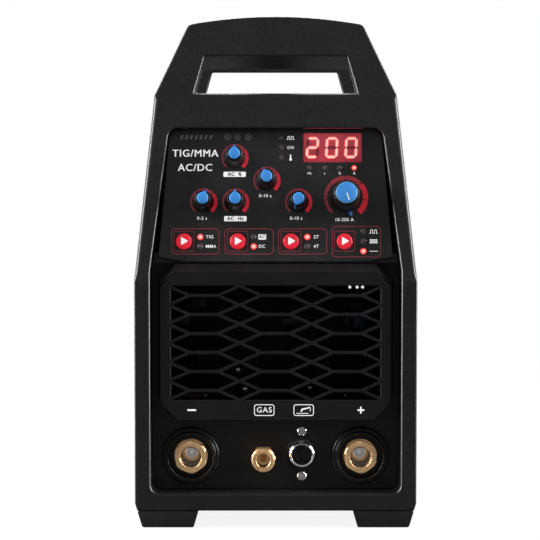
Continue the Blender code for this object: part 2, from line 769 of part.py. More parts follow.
def make_rotor(low, high):
    """Seven raked blades on a hub. The turning axis is the machine's long axis."""
    depth = high - low
    hub = rod(21, 0, depth, 21)
    rotor = make_piece("fan_rotor", hub, "black_plastic", (0, high, FAN_Z), (90, 0, 0))
    blades = bmesh.new()
    for i in range(BLADES):
        blade = fan_blade(depth)
        turn = Matrix.Rotation(2 * math.pi * i / BLADES, 3, "Z")
        bmesh.ops.rotate(blade, verts=blade.verts, matrix=turn)
        merge(blades, blade)
    join(rotor, blades, place=(0, high, FAN_Z), turn=(90, 0, 0))


def fan_blade(depth):
    rings = []
    for radius, sweep, low in ((19, 20, 3), (38, 16, 4), (55, 12, 5)):
        high = depth - low
        start = math.radians(-sweep)
        end = math.radians(sweep)
        a = (radius * math.cos(start), radius * math.sin(start))
        b = (radius * math.cos(end), radius * math.sin(end))
        rings.append([(*a, low), (*a, low + 1.6), (*b, high), (*b, high - 1.6)])
    blade = loft(rings)
    bmesh.ops.triangulate(blade, faces=blade.faces)
    return blade


def make_guard():
    """Flat wire rings and spokes over the fan's bore."""
    where = on_rear_floor((0, FAN_Z), GAP)
    guard = make_piece("fan_guard", turned(guard_ring(58), 24), "steel", **where)
    join(guard, turned(guard_ring(38), 20), **where)
    join(guard, rod(18, 0, 2.0, 16), **where)
    for across, up in ((58, 1.2), (1.2, 58)):
        join(guard, box((-across, -up, 0.4), (across, up, 1.6)), **where)


def guard_ring(radius):
    return [(radius - 1.1, 0), (radius + 1.1, 0), (radius + 1.1, 2.0), (radius - 1.1, 2.0)]


def make_gas_inlet():
    """A barb for the supply hose. It stands out of the rear as far as the front knob does."""
    end = foremost_knob() - REAR_FLOOR_Y
    flats = hexagon(14.0)
    body = [(2, -5.6), (5, -5.6), (5, GAP), (flats, GAP), (flats, 5), (3.9, 5.4)]
    for height in (end - 18, end - 12, end - 6):
        body += [(3.9, height), (4.7, height + 0.3)]
    body += [(3.4, end), (2, end)]
    make_piece("gas_inlet", turned(body, 12), "brass", **on_rear_floor(GAS_INLET))
    low, high = (-80.4, 104.0, 22.0), (-61.0, 143.8, 60.0)
    make_piece("solenoid_valve", box(low, high), "core")


def foremost_knob():
    """How far the current knob stands out in front of the machine's middle."""
    x, z, turn = CURRENT_KNOB
    face_y = HALF_LENGTH - PANEL_DEPTH - lean(z)
    rim = CURRENT_CAP_R * math.sin(LEAN)
    return face_y + (CURRENT_KNOB_H - 0.4) * math.cos(LEAN) + rim


def make_earth_stud():
    flats = hexagon(13.0)
    profile = [(0, -7), (3.9, -7), (3.9, GAP), (flats, GAP), (flats, 5)]
    profile += [(3, 5), (3, 12), (2.4, 12.8), (0, 12.8)]
    make_piece("earth_stud", turned(profile, 12), "brass", **on_rear_floor(EARTH_STUD))


def make_switch(frame):
    dx, dv = SWITCH_HALF
    x, z = SWITCH
    where = panel_place(-x, z)
    housing = make_piece(
        "switch_housing", box((-dx, -dv, -18), (dx, dv, 1.5)), "black_plastic", where, parent=frame
    )
    join(housing, box((-dx - 2, -dv - 2, GAP), (dx + 2, dv + 2, 2.4)), place=where, parent=frame)
    cut(housing, box((-dx + 2, -dv + 2, -8), (dx - 2, dv - 2, 4)), place=where, parent=frame)
    rocker = mirrored([(4, -5.0), (12.3, -2.0), (12.2, 2.2), (11.4, 4.4), (0.5, 1.6)])
    rocker = [turned_by(ROCKER_TILT, point) for point in rocker]
    rings = [[(side * (dx - 2.4), v, h) for v, h in rocker] for side in (-1, 1)]
    make_piece("switch_rocker", loft(rings), "red_plastic", where, parent=frame)


def turned_by(angle, point):
    x, y = point
    return (x * math.cos(angle) - y * math.sin(angle), x * math.sin(angle) + y * math.cos(angle))


def make_gland(frame):
    """The mains inlet: a threaded body through the wall, and its domed clamping cap."""
    where = panel_place(-GLAND[0], GLAND[1])
    flats = hexagon(22.0)
    grip = hexagon(21.0, 11.4)
    body = [(5.2, -12), (8, -12), (8, GAP), (flats, GAP), (flats, 4.6), (8.6, 4.8)]
    body += [(8.6, 5.2), (grip, 5.4), (grip, 9.5), (10.0, 10.5), (7.2, 14.0), (5.2, 14.0)]
    make_piece("cable_gland", turned(body, 12), "black_plastic", where, parent=frame)


# ---- Inside --------------------------------------------------------------------------
def finned(side, base_x, tip_x, low, high, fins):
    """A heatsink's outline: an upright base with fins standing towards the middle."""
    pitch = (high - low) / (fins - 0.5)
    outline = [(base_x, low), (base_x, high)]
    root = base_x - 6
    for i in reversed(range(fins)):
        z0 = low + i * pitch
        z1 = z0 + pitch / 2
        outline += [(root, z1), (tip_x, z1), (tip_x, z0), (root, z0)]
    outline = outline[:2] + outline[3:-1]
    outline[2] = (tip_x, high)
    outline[-1] = (tip_x, low)
    return [(side * x, z) for x, z in outline]


def make_power_stage():
    """Two finned heatsinks along the air's path, and the capacitor in front of the right one."""
    for name, side in (("rectifier", -1), ("inverter", 1)):
        shape = slab(finned(side, 69.7, 30, 62, 150, 7), at(-38), at(95))
        make_piece(f"{name}_heatsink", shape, "aluminium")
    board = make_piece("power_board", box((70, -84, 20), (71.6, 95, 150)), "board")
    can = turned([(0, 0), (17, 0), (17, 38.5), (16, 39.5), (0, 39.5)], 20)
    join(board, can, place=(70.5, -62, 114), turn=(0, -90, 0))


def make_magnetics():
    core = make_piece("transformer", box((-28, -62, 15.9), (28, -12, 64)), "core")
    join(core, box((-22, -70, 22), (22, -4, 58)))
    choke = [(15, 0), (36, 0), (38, 3), (38, 25), (36, 28), (15, 28), (13, 25), (13, 3)]
    make_piece("output_choke", turned(choke, 20), "copper", (0, 58, 15.9))


def make_busbars():
    """A copper strap stands behind each power socket and turns back along the machine."""
    for name, (x, z) in POWER_SOCKETS.items():
        strap = [(-125.7, z - 8), (-122.7, z - 8), (-122.7, 74), (-60, 74), (-60, 77), (-125.7, 77)]
        rings = [[(edge, y, height) for y, height in strap] for edge in (x - 7.5, x + 7.5)]
        bar = make_piece(f"{name}_busbar", loft(rings), "copper")
        cut(bar, rod(4.4, -8, 8, 12), place=(x, -124, z), turn=(90, 0, 0))


# ---- The whole machine ---------------------------------------------------------------
def main():
    clear_scene()
    front = make_front_frame()
    rear = make_rear_frame()
    make_bezel("front_bezel", -1, FRONT_FLOOR, PANEL_DEPTH + PANEL_THICK + 0.35)
    make_bezel("rear_bezel", 1, REAR_FLOOR, REAR_PANEL_DEPTH)
    make_feet()
    make_front_plate()
    make_rear_plates(rear)
    make_cover()
    make_tray()
    make_handle()
    make_grille()
    make_control_panel(front)
    make_control_board(front)
    make_display(front)
    make_knobs(front)
    make_buttons(front)
    for name, place in POWER_SOCKETS.items():
        make_power_socket(name, place)
    make_gas_outlet()
    make_torch_socket()
    make_fan()
    make_gas_inlet()
    make_earth_stud()
    make_switch(rear)
    make_gland(rear)
    make_power_stage()
    make_magnetics()
    make_busbars()


main()
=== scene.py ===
"""Looks of a portable TIG welding machine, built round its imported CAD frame.

Lengths are millimetres, and MM turns them into metres. Only the studio's are metres.
Axes: X to the right, the front faces -Y, +Z up, the origin on the floor under the middle.
"""

import json
from functools import partial
from math import cos, degrees, hypot, inf, pi, radians, sin, tan

import bmesh
import bpy
from mathutils import Matrix, Vector


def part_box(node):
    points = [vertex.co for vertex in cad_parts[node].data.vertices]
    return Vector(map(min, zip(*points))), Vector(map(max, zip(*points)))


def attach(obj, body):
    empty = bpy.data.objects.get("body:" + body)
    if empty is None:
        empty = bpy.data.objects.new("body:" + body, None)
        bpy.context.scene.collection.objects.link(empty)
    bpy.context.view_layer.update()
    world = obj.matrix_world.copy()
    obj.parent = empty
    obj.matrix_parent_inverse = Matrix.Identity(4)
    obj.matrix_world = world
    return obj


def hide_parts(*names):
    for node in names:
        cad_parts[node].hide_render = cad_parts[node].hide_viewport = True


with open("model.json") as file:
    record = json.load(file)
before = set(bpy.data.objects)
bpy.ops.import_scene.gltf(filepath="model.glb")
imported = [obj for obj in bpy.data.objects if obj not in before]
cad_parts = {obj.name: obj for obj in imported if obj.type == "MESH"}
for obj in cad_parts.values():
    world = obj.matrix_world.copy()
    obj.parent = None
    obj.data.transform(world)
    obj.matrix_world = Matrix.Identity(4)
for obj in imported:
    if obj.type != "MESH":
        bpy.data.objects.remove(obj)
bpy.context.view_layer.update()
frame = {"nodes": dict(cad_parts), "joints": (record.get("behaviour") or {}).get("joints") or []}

MM = 0.001
HERE = Matrix()
NODES = frame["nodes"]
PIVOTS = {joint["child"]: joint["pos_m"] for joint in frame["joints"] if "pos_m" in joint}

# ---- Case ----
HALF_LENGTH = 170
HALF_WIDTH = 90
KINK_Z = 158  # above this the ends and the sides lean in
LEAN = radians(11)
SIDE_SLOPE = 0.1037
SHOULDER = (77.8, 275.6)
CROWN_Z = 326.2
CROWN_RADIUS = 309
FOOT_H = 10.7
FOOT_OUT = 85.3
TAPER_Z = 15.5
BEZEL_BACK = 112
WALL = 3
POCKET_LOW = FOOT_H + WALL
POCKET_TOP = 272
RECESS_HALF = 79.9
RECESS_TOP_HALF = 68.24
RECESS_LOW_Z = 21.9
RECESS_BREAK_Z = 164.5
RECESS_TOP_Z = 254.6
STEP_Z = 168.9  # the upright plates end here, and a ledge runs out to the leaning ones
STEP_TOP_Z = 175
FRONT_FLOOR = 18
REAR_FLOOR = 20
FRONT_FLOOR_Y = FRONT_FLOOR - HALF_LENGTH
REAR_FLOOR_Y = HALF_LENGTH - REAR_FLOOR
PANEL_DEPTH = 8.15
PANEL_THICK = 2
LEDGE_DEPTH = 10.5
REAR_PANEL_DEPTH = 10
SIDE_SCREW_Y = 122
SIDE_SCREW_Z = (30, 140)
FAN_BORE_R = 56
FAN_SCREW = 52.5
COVER_HALF_L = 118
GAP = 0.3
WIDEST = 2  # the widest rounding of an edge; others are a share of it
WIDE_CHAMFER = 2.8
NARROW_CHAMFER = 1
ROUND_STEPS = 5
CHAMFER_Z = (164, 273)  # between these heights the face's outer edge has its wide chamfer
SMOOTH_ANGLE = radians(28)
WIDE_FACE = 3.2
SIDES = ((-1, "left"), (1, "right"))

# ---- Materials ----
BLOTCH = 22  # the size of the broad patches in every finish's colour
EDGE_LIGHTENING = 4  # how much lighter a convex edge is made: partly rubbed wear, partly a painted highlight
SLOTS = {}  # the slot of a piece in each finish, unless the piece names another


def feed(tree, made, **inputs):
    """Gives a node's inputs their values, and links those that are given a socket."""
    for name, value in inputs.items():
        entry = made.inputs[name.replace("_", " ")]
        if isinstance(value, bpy.types.NodeSocket):
            tree.links.new(value, entry)
        else:
            entry.default_value = value
    return made


def node(tree, kind, **inputs):
    return feed(tree, tree.nodes.new("ShaderNode" + kind), **inputs)


def noise(tree, vector, size, detail=3):
    return node(tree, "TexNoise", Vector=vector, Scale=1 / (size * MM), Detail=detail).outputs["Fac"]


def ranged(tree, value, low, high):
    """The 0.3 to 0.7 that a noise mostly gives, spread between low and high."""
    made = node(tree, "MapRange", Value=value, From_Min=0.3, From_Max=0.7, To_Min=low, To_Max=high)
    return made.outputs["Result"]


def mixed(tree, factor, dark, light):
    made = tree.nodes.new("ShaderNodeMix")
    made.data_type = "RGBA"
    return feed(tree, made, Factor=factor, A=dark, B=light).outputs["Result"]


def scaled(colour, factor):
    return (*(min(1, channel * factor) for channel in colour), 1)


def by_ray(tree, unseen, seen):
    """One value for what the camera sees directly, and another for all other light."""
    ray = node(tree, "LightPath").outputs["Is Camera Ray"]
    return node(tree, "MapRange", Value=ray, To_Min=unseen, To_Max=seen).outputs["Result"]


def lathe_marks(tree, vector, pitch):
    """Fine rings about the piece's own Z axis."""
    wave = node(tree, "TexWave", Vector=vector, Scale=1 / (pitch * MM), Distortion=1.5, Detail=2)
    wave.wave_type = "RINGS"
    wave.rings_direction = "Z"
    return wave.outputs["Fac"]


def rubbed_and_highlit_edges(tree, tone, edge_tone, amount):
    """Convex edges are made a little lighter: partly rubbed wear, partly a painted highlight."""
    edge = node(tree, "NewGeometry").outputs["Pointiness"]
    lightened = node(tree, "MapRange", Value=edge, From_Min=0.52, From_Max=0.62, To_Min=0, To_Max=amount)
    return mixed(tree, lightened.outputs["Result"], tone, edge_tone)


def material(name, colour, rough, metal=0, slot=None, specular=0.5, grain=0.5, depth=0.02, spread=0.12,
             mottle=0.25, brushed=None, lathe=None, coat=0, glow=0, spill=1, wear=0):
    """A Principled finish whose colour, roughness and surface all vary a little.

    grain is the size of its surface pattern and depth its height, both in millimetres.
    glow is how bright it shines: light of its own in lamps and the display, painted light on the print,
    brass, steel and knob caps; spill is how much more of that falls on what is near.
    """
    made = bpy.data.materials.new(name)
    made.use_nodes = True
    SLOTS[made.name] = slot
    tree = made.node_tree
    place = node(tree, "TexCoord").outputs["Object"]
    surface = node(tree, "Mapping", Vector=place, Scale=brushed).outputs["Vector"] if brushed else place
    blotches = ranged(tree, noise(tree, place, BLOTCH), 0, 1)
    tone = mixed(tree, blotches, scaled(colour, 1 - mottle), scaled(colour, 1 + mottle))
    # Convex edges lightened: partly rubbed wear, partly a painted highlight.
    if wear:
        tone = rubbed_and_highlit_edges(tree, tone, scaled(colour, EDGE_LIGHTENING), wear)
    patchy = noise(tree, surface, grain * 4, 2)
    height = lathe_marks(tree, place, lathe) if lathe else noise(tree, surface, grain)
    bump = node(tree, "Bump", Height=height, Strength=1, Distance=depth * MM)
    shader = tree.nodes["Principled BSDF"]
    feed(tree, shader, Base_Color=tone, Metallic=metal, Specular_IOR_Level=specular,
         Roughness=ranged(tree, patchy, rough * (1 - spread), rough * (1 + spread)),
         Coat_Weight=coat, Coat_Roughness=0.12, Normal=bump.outputs["Normal"])
    if glow:
        feed(tree, shader, Emission_Color=tone, Emission_Strength=by_ray(tree, glow * spill, glow))
    return made


trim = partial(material, slot="trim_plastic")
ink = partial(trim, rough=0.45, grain=0.15, depth=0.003, mottle=0.08)
blue = partial(material, slot="knob_cap_plastic", grain=0.3, depth=0.004, mottle=0.06)
glass = partial(material, slot="display_lens", rough=0.25, grain=0.4, depth=0.003, mottle=0.1)
segment = partial(glass, rough=0.3, grain=0.3, depth=0.002, mottle=0.05)
brass = partial(material, rough=0.36, metal=1, slot="socket_brass", depth=0.006, spread=0.3)
steel = partial(material, metal=1, slot="zinc_steel", grain=0.4, depth=0.004, spread=0.3)
part = partial(material, rough=0.45, slot="circuit_board", specular=0.3, grain=0.8, depth=0.01)

# Colours are linear.
BLACK = (0.0075, 0.0075, 0.008)
JET = (0.0045, 0.0045, 0.005)
CASE = material("case_plastic", BLACK, 0.40, slot="bezel_plastic", specular=0.32, grain=0.45,
                depth=0.012, wear=0.25)
TRIM = trim("trim_plastic", JET, 0.36, specular=0.34, grain=0.35, depth=0.008, wear=0.2)
PANEL_FILM = trim("panel_film", (0.031, 0.031, 0.032), 0.30, specular=0.30, grain=0.22, depth=0.004)
POWDER = material("powder_coat", BLACK, 0.48, slot="cover_paint", specular=0.36, grain=0.9,
                  depth=0.05, spread=0.2)
RUBBER = material("rubber", (0.011, 0.011, 0.012), 0.72, slot="grip_rubber", specular=0.3, grain=0.6,
                  depth=0.03)
KNOB = material("knob_plastic", JET, 0.38, slot="knob_plastic", specular=0.2, grain=0.3, depth=0.006)
# Painted light: the blue caps glow a little, though no lamp is in them.
KNOB_BLUE = blue("knob_blue", (0.040, 0.25, 0.66), 0.38, specular=0.4, depth=0.006, glow=0.3)
DEEP_BLUE = blue("deep_blue", (0.010, 0.030, 0.22), 0.4)
RIM_BLUE = blue("rim_blue", (0.20, 0.42, 0.66), 0.22, depth=0.003, mottle=0.04)
MARK_BLUE = blue("mark_blue", (0.02, 0.16, 0.62), 0.42)
BUTTON_RED = material("button_red", (0.78, 0.014, 0.035), 0.3, slot="button_plastic", grain=0.3,
                      depth=0.004, mottle=0.06, coat=0.3, glow=0.5)
# Painted light: the inks below glow, so that the print looks brighter than the lamps make it.
INK_WHITE = ink("ink_white", (0.78, 0.78, 0.78), rough=0.5, mottle=0.05, glow=0.75)
INK_GREY = ink("ink_grey", (0.22, 0.22, 0.23), rough=0.5)
INK_FAINT = ink("ink_faint", (0.045, 0.040, 0.042), rough=0.5)
INK_RED = ink("ink_red", (0.62, 0.012, 0.03), glow=0.35)
INK_DIM_RED = ink("ink_dim_red", (0.25, 0.024, 0.040), glow=0.25)
INK_MID_RED = ink("ink_mid_red", (0.34, 0.020, 0.034), glow=0.25)
INK_FRAME = ink("ink_frame", (0.30, 0.028, 0.048), glow=0.25)
LENS = glass("display_lens", (0.30, 0.026, 0.040), rough=0.12, grain=2, depth=0.004, mottle=0.25,
             coat=0.5, glow=0.9, spill=20)
SEGMENT_LIT = segment("segment_lit", (1, 0.15, 0.125), glow=1)
SEGMENT_CORE = segment("segment_core", (1, 0.42, 0.36), glow=1.1)
SEGMENT_OFF = segment("segment_off", (0.13, 0.012, 0.018), mottle=0.1, glow=0.8)
LED_LIT = glass("led_lit", (1, 0.10, 0.08), glow=1)
LED_CORE = glass("led_core", (1, 0.40, 0.33), glow=1.2)
LED_OFF = glass("led_off", (0.15, 0.105, 0.115), mottle=0.15)
LAMP_WHITE = glass("lamp_white", (0.9, 0.92, 1), mottle=0.05, glow=0.9)
# Painted light: the brass finishes glow a little, to look brighter than the lamps make them.
BRASS = brass("brass", (0.78, 0.50, 0.26), mottle=0.15, lathe=0.35, glow=0.12)
BRASS_AMBER = brass("brass_amber", (0.50, 0.22, 0.05), rough=0.3, grain=0.4, glow=0.12)
# Painted shade: a near-black brass for the shaded insides of the bores and the torch socket's pins.
BRASS_IN_SHADE = brass("brass_dark", (0.055, 0.025, 0.012))
BRASS_CAST = brass("brass_cast", (0.72, 0.46, 0.23), grain=0.6, depth=0.01, glow=0.08)
STEEL = steel("steel", (0.74, 0.74, 0.75), 0.24, lathe=0.4)
# Painted highlight: the stud steel glows, to look whiter than the lamps make it.
STUD_STEEL = steel("stud_steel", (0.90, 0.90, 0.91), 0.2, glow=0.2)
ZINC = steel("zinc_steel", (0.50, 0.51, 0.53), 0.38, grain=3, depth=0.01, brushed=(1, 0.1, 1))
CHROME = material("chrome", (0.88, 0.88, 0.90), 0.13, 1, slot="chrome_shell", depth=0.001, mottle=0.04)
COPPER = material("copper", (0.80, 0.40, 0.26), 0.34, 1, grain=0.8, depth=0.006, brushed=(1, 0.1, 1))
ENAMEL_WIRE = material("enamel_wire", (0.55, 0.2, 0.08), 0.3, 0.8, grain=1.6, depth=0.25, lathe=1.7)
ALUMINIUM = material("aluminium", (0.62, 0.63, 0.65), 0.36, 1, slot="heatsink_aluminium", grain=0.7,
                     depth=0.01, brushed=(1, 0.08, 1))
LABEL = material("label_plate", (0.42, 0.43, 0.44), 0.34, 0.9, slot="heatsink_aluminium", grain=0.6,
                 depth=0.005, brushed=(0.08, 1, 1))
BOARD = material("circuit_board", (0.012, 0.10, 0.045), 0.42, grain=1.4, mottle=0.4)
FERRITE = material("ferrite", (0.018, 0.018, 0.02), 0.55, depth=0.03, mottle=0.3)
# Near-black, partly the inner parts' own colour and partly painted shade inside the case.
DARK_AND_SHADED = part("dark_board", (0.0028, 0.0028, 0.003), rough=0.6, specular=0.2, grain=0.6, depth=0.02,
            mottle=0.4)
PART_GREY = part("part_grey", (0.035, 0.035, 0.037), rough=0.5)
PART_BLUE = part("part_blue", (0.010, 0.022, 0.075))
PART_GREEN = part("part_green", (0.006, 0.035, 0.010))
PART_BROWN = part("part_brown", (0.045, 0.012, 0.008))


# ---- Mesh helpers ----
def loft(rings, closed=False):
    """A skin over rings of equal length, capped at both ends unless it closes on itself."""
    bm = bmesh.new()
    rows = [[bm.verts.new([value * MM for value in point]) for point in ring] for ring in rings]
    count = len(rows[0])
    for low, high in zip(rows, rows[1:]) if not closed else zip(rows, rows[1:] + rows[:1]):
        for i in range(count):
            j = (i + 1) % count
            bm.faces.new((low[i], low[j], high[j], high[i]))
    if not closed:
        bm.faces.new(rows[0])
        bm.faces.new(rows[-1])
    return outward(bm)


def outward(bm):
    bmesh.ops.recalc_face_normals(bm, faces=bm.faces)
    if bm.calc_volume(signed=True) < 0:
        bmesh.ops.reverse_faces(bm, faces=bm.faces)
    return bm


def merged(parts):
    whole = bmesh.new()
    for bm in parts:
        mesh = bpy.data.meshes.new("part")
        bm.to_mesh(mesh)
        bm.free()
        whole.from_mesh(mesh)
        bpy.data.meshes.remove(mesh)
    return whole


def moved(bm, matrix):
    bmesh.ops.transform(bm, matrix=matrix, verts=bm.verts)
    return bm


def shift(x=0, y=0, z=0):
    return Matrix.Translation(Vector((x, y, z)) * MM)


def turn(degrees, axis="Z"):
    return Matrix.Rotation(radians(degrees), 4, axis)


def box(low, high):
    (x0, y0, z0), (x1, y1, z1) = low, high
    return loft([[(x0, y0, z), (x1, y0, z), (x1, y1, z), (x0, y1, z)] for z in (z0, z1)])


def crease(bm, z):
    """Cuts a shape's faces across at a height, so that they can bend there."""
    everything = bm.verts[:] + bm.edges[:] + bm.faces[:]
    bmesh.ops.bisect_plane(bm, geom=everything, plane_co=(0, 0, z * MM), plane_no=(0, 0, 1))


def slab(outline, near, far, breaks=()):
    """An (x, z) outline run along Y. Its ends may be functions of z, which bend at the breaks."""
    bm = loft([[(x, y, z) for x, z in outline] for y in (0, 1)])
    for z in breaks:
        crease(bm, z)
    for vert in bm.verts:
        end = far if vert.co.y > 0.5 * MM else near
        vert.co.y = (end(vert.co.z / MM) if callable(end) else end) * MM
    return outward(bm)


def plate(outline, low, high):
    """An (x, y) outline between two heights."""
    return loft([[(x, y, height) for x, y in outline] for height in (low, high)])


def band(outer, inner, low, high):
    """A flat closed strip between two outlines of equal length."""
    return loft([[(*a, low), (*a, high), (*b, high), (*b, low)] for a, b in zip(outer, inner)], closed=True)


def turned(profile, steps=48):
    """A closed (radius, height) profile turned about Z. A radius may be a function of angle."""
    rings = []
    for i in range(steps):
        angle = 2 * pi * i / steps
        flat = [(radius(angle) if callable(radius) else radius, height) for radius, height in profile]
        rings.append([(r * cos(angle), r * sin(angle), height) for r, height in flat])
    bm = loft(rings, closed=True)
    bmesh.ops.remove_doubles(bm, verts=bm.verts, dist=0.002 * MM)
    loose = [edge for edge in bm.edges if not edge.link_faces]
    bmesh.ops.delete(bm, geom=loose, context="EDGES")
    return outward(bm)


def rod(radius, low, high, steps=32):
    return turned([(0, low), (radius, low), (radius, high), (0, high)], steps)


def arcs(corners, steps=5):
    """A closed outline from (x, y, radius) corners, with each radius as an arc."""
    points = []
    for i, (x, y, radius) in enumerate(corners):
        here = Vector((x, y))
        if not radius:
            points.append((x, y))
            continue
        before = (Vector(corners[i - 1][:2]) - here).normalized()
        after = (Vector(corners[(i + 1) % len(corners)][:2]) - here).normalized()
        half = before.angle(after) / 2
        centre = (before + after).normalized() * (radius / sin(half))
        reach = radius / tan(half)
        start = before * reach - centre
        sweep = start.angle_signed(after * reach - centre)
        for k in range(steps + 1):
            points.append(tuple(here + centre + Matrix.Rotation(-sweep * k / steps, 2) @ start))
    return points


def rounded_box(x0, y0, x1, y1, radius, steps=5):
    return arcs([(x0, y0, radius), (x1, y0, radius), (x1, y1, radius), (x0, y1, radius)], steps)


def circle(radius, steps, centre=(0, 0)):
    turns = [2 * pi * i / steps for i in range(steps)]
    return [(centre[0] + radius * cos(a), centre[1] + radius * sin(a)) for a in turns]


def mirrored(right):
    """A closed outline from its right half, listed from bottom to top."""
    return list(right) + [(-point[0], *point[1:]) for point in reversed(right)]


def hexagon(across_flats, corner=inf, offset=0):
    """The radius of a hexagon at each angle, with its corners turned down."""

    def radius(angle):
        wedge = (angle - radians(offset)) % (pi / 3) - pi / 6
        return min(across_flats / 2 / cos(wedge), corner)

    return radius


def hex_flange(across_flats, corner, low, high, top):
    """The profile of a hexagon on a surface, whose edges are turned to a corner radius."""
    flats, edge = hexagon(across_flats), hexagon(across_flats, corner)
    return [(edge, GAP), (flats, low), (flats, high), (edge, top)]


def fluted(radius, flutes, depth):
    """A radius with shallow rounded flutes."""
    return lambda angle: radius - depth * (0.5 + 0.5 * cos(flutes * angle)) ** 2


# ---- Pieces ----
def put(name, data):
    obj = bpy.data.objects.new(name, data)
    bpy.context.scene.collection.objects.link(obj)
    return obj


def put_mesh(name, bm):
    """An object with this shape, which is used up."""
    mesh = bpy.data.meshes.new(name)
    bm.to_mesh(mesh)
    bm.free()
    return put(name, mesh)


def taken(obj):
    """The shape of an object with its modifiers applied. The object goes."""
    graph = bpy.context.evaluated_depsgraph_get()
    bm = bmesh.new()
    bm.from_mesh(bpy.data.meshes.new_from_object(obj.evaluated_get(graph)))
    bpy.data.objects.remove(obj)
    return bm


def add(name, bm, finish, where=HERE, *replaces, body="root", slot=None):
    """Adds one piece that rides on a body and stands for the CAD nodes it replaces."""
    obj = put_mesh(name, bm)
    obj.matrix_world = where
    obj.data.shade_smooth()
    obj.data.set_sharp_from_angle(angle=SMOOTH_ANGLE)
    obj.data.materials.append(finish)
    slot = slot or SLOTS[finish.name]
    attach(obj, body)
    if replaces:
        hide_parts(*replaces)
    return obj


def carved(bm, cutters=(), joins=()):
    """The shape with some shapes joined on and others cut out."""
    obj = put_mesh("carved", bm)
    helpers = []
    for operation, parts in (("UNION", joins), ("DIFFERENCE", cutters)):
        for shape in parts:
            modifier = obj.modifiers.new("boolean", "BOOLEAN")
            modifier.operation = operation
            modifier.object = put_mesh("helper", shape)
            helpers.append(modifier.object)
    result = taken(obj)
    for spare in helpers:
        bpy.data.objects.remove(spare)
    bmesh.ops.remove_doubles(result, verts=result.verts, dist=0.005 * MM)
    return result


def softened(bm, width, segments=3, sharp=25):
    """Rounds each sharp edge, by a width that may be a function of its middle's x, y and z."""
    layer = bm.edges.layers.float.new("bevel_weight_edge")
    for edge in bm.edges:
        if len(edge.link_faces) == 2 and edge.calc_face_angle() > radians(sharp):
            middle = (edge.verts[0].co + edge.verts[1].co) / 2 / MM
            edge[layer] = (width(*middle) if callable(width) else width) / WIDEST
    obj = put_mesh("softened", bm)
    bevel = obj.modifiers.new("bevel", "BEVEL")
    bevel.limit_method = "WEIGHT"
    bevel.width = WIDEST * MM
    bevel.segments = segments
    bevel.use_clamp_overlap = False
    return taken(obj)


def balance_normals(obj):
    """Shades wide faces flat, so that only the roundings between them are smooth."""
    mesh = obj.data
    for polygon in mesh.polygons:
        corners = [mesh.vertices[i].co for i in polygon.vertices]
        longest = max((here - corners[i - 1]).length for i, here in enumerate(corners))
        if polygon.area / longest > WIDE_FACE * MM:
            polygon.use_smooth = False


def lettering(text, size, bold=0.006):
    """Plain lettering centred on the origin, in the XY plane."""
    curve = bpy.data.curves.new("lettering", "FONT")
    curve.body = text
    curve.size = size * MM
    curve.extrude = INK / 2 * MM
    curve.offset = bold * size * MM
    curve.space_character = 1.12
    curve.align_x = "CENTER"
    curve.align_y = "CENTER"
    curve.resolution_u = 3
    return taken(put("lettering", curve))


# ---- Case outlines ----
def lean(z):
    return max(0, (z - KINK_Z) * tan(LEAN))


def face(side, depth):
    """The y of a plane that lies this deep behind the front (side -1) or rear (side 1)."""
    return lambda z: side * (HALF_LENGTH - lean(z) - depth)


def case_half(z, inset=0):
    return HALF_WIDTH - inset - max(0, z - KINK_Z) * SIDE_SLOPE


def foot_side(z):
    """How far out the case's lower corner is, where it tapers down into a foot."""
    return FOOT_OUT + (HALF_WIDTH - FOOT_OUT) * z / TAPER_Z


def bezel_outline():
    right = [(foot_side(FOOT_H), FOOT_H, 0), (HALF_WIDTH, TAPER_Z, 6), (HALF_WIDTH, KINK_Z, 0)]
    right += [(case_half(z), z, 0) for z in CHAMFER_Z]
    right += [(*SHOULDER, 1.5), (66.9, 298.3, 14), (56.15, 321.1, 5)]
    crown = [(x, CROWN_Z - x * x / (2 * CROWN_RADIUS), 0) for x in range(50, 0, -6)]
    return arcs(mirrored(right + crown))


def edge_width(z):
    """The chamfer round a bezel's face: wide up its leaning sides, narrow elsewhere."""
    return WIDE_CHAMFER if CHAMFER_Z[0] - 0.1 < z < CHAMFER_Z[1] + 0.1 else NARROW_CHAMFER


def drawn_in(outline):
    """The outline moved inwards by each point's chamfer."""
    points = []
    for i, (x, z) in enumerate(outline):
        here = Vector((x, z))
        before = (here - Vector(outline[i - 1])).normalized()
        after = (Vector(outline[(i + 1) % len(outline)]) - here).normalized()
        inward = Vector((-before.y - after.y, before.x + after.x)).normalized()
        reach = edge_width(z) / max(0.5, inward.dot(Vector((-before.y, before.x))))
        points.append(tuple(here + inward * reach))
    return points


def bezel_body(side):
    """The bezel's outer block, with its face rounded off all round."""
    outline = bezel_outline()
    inner = drawn_in(outline)
    rings = []
    for step in range(ROUND_STEPS + 1):
        share = sin(pi / 2 * step / ROUND_STEPS)
        rings.append([(a + (c - a) * share, step, b + (d - b) * share)
                      for (a, b), (c, d) in zip(inner, outline)])
    rings.append([(x, ROUND_STEPS + 1, z) for x, z in outline])
    bm = loft(rings)
    crease(bm, KINK_Z)
    for vert in bm.verts:
        step, z = vert.co.y / MM, vert.co.z / MM
        if step > ROUND_STEPS + 0.5:
            vert.co.y = side * BEZEL_BACK * MM
        else:
            depth = edge_width(z) * (1 - cos(pi / 2 * step / ROUND_STEPS))
            vert.co.y = face(side, depth)(z) * MM
    return outward(bm)


def recess_outline():
    right = [(RECESS_HALF, RECESS_LOW_Z, 5.5), (RECESS_HALF, RECESS_BREAK_Z, 6)]
    return arcs(mirrored(right + [(RECESS_TOP_HALF, RECESS_TOP_Z, 6.5)]))


def recess_half(z):
    """Half the recess's width, between its lower and upper corners."""
    share = max(0, (z - RECESS_BREAK_Z) / (RECESS_TOP_Z - RECESS_BREAK_Z))
    return RECESS_HALF - (RECESS_HALF - RECESS_TOP_HALF) * share


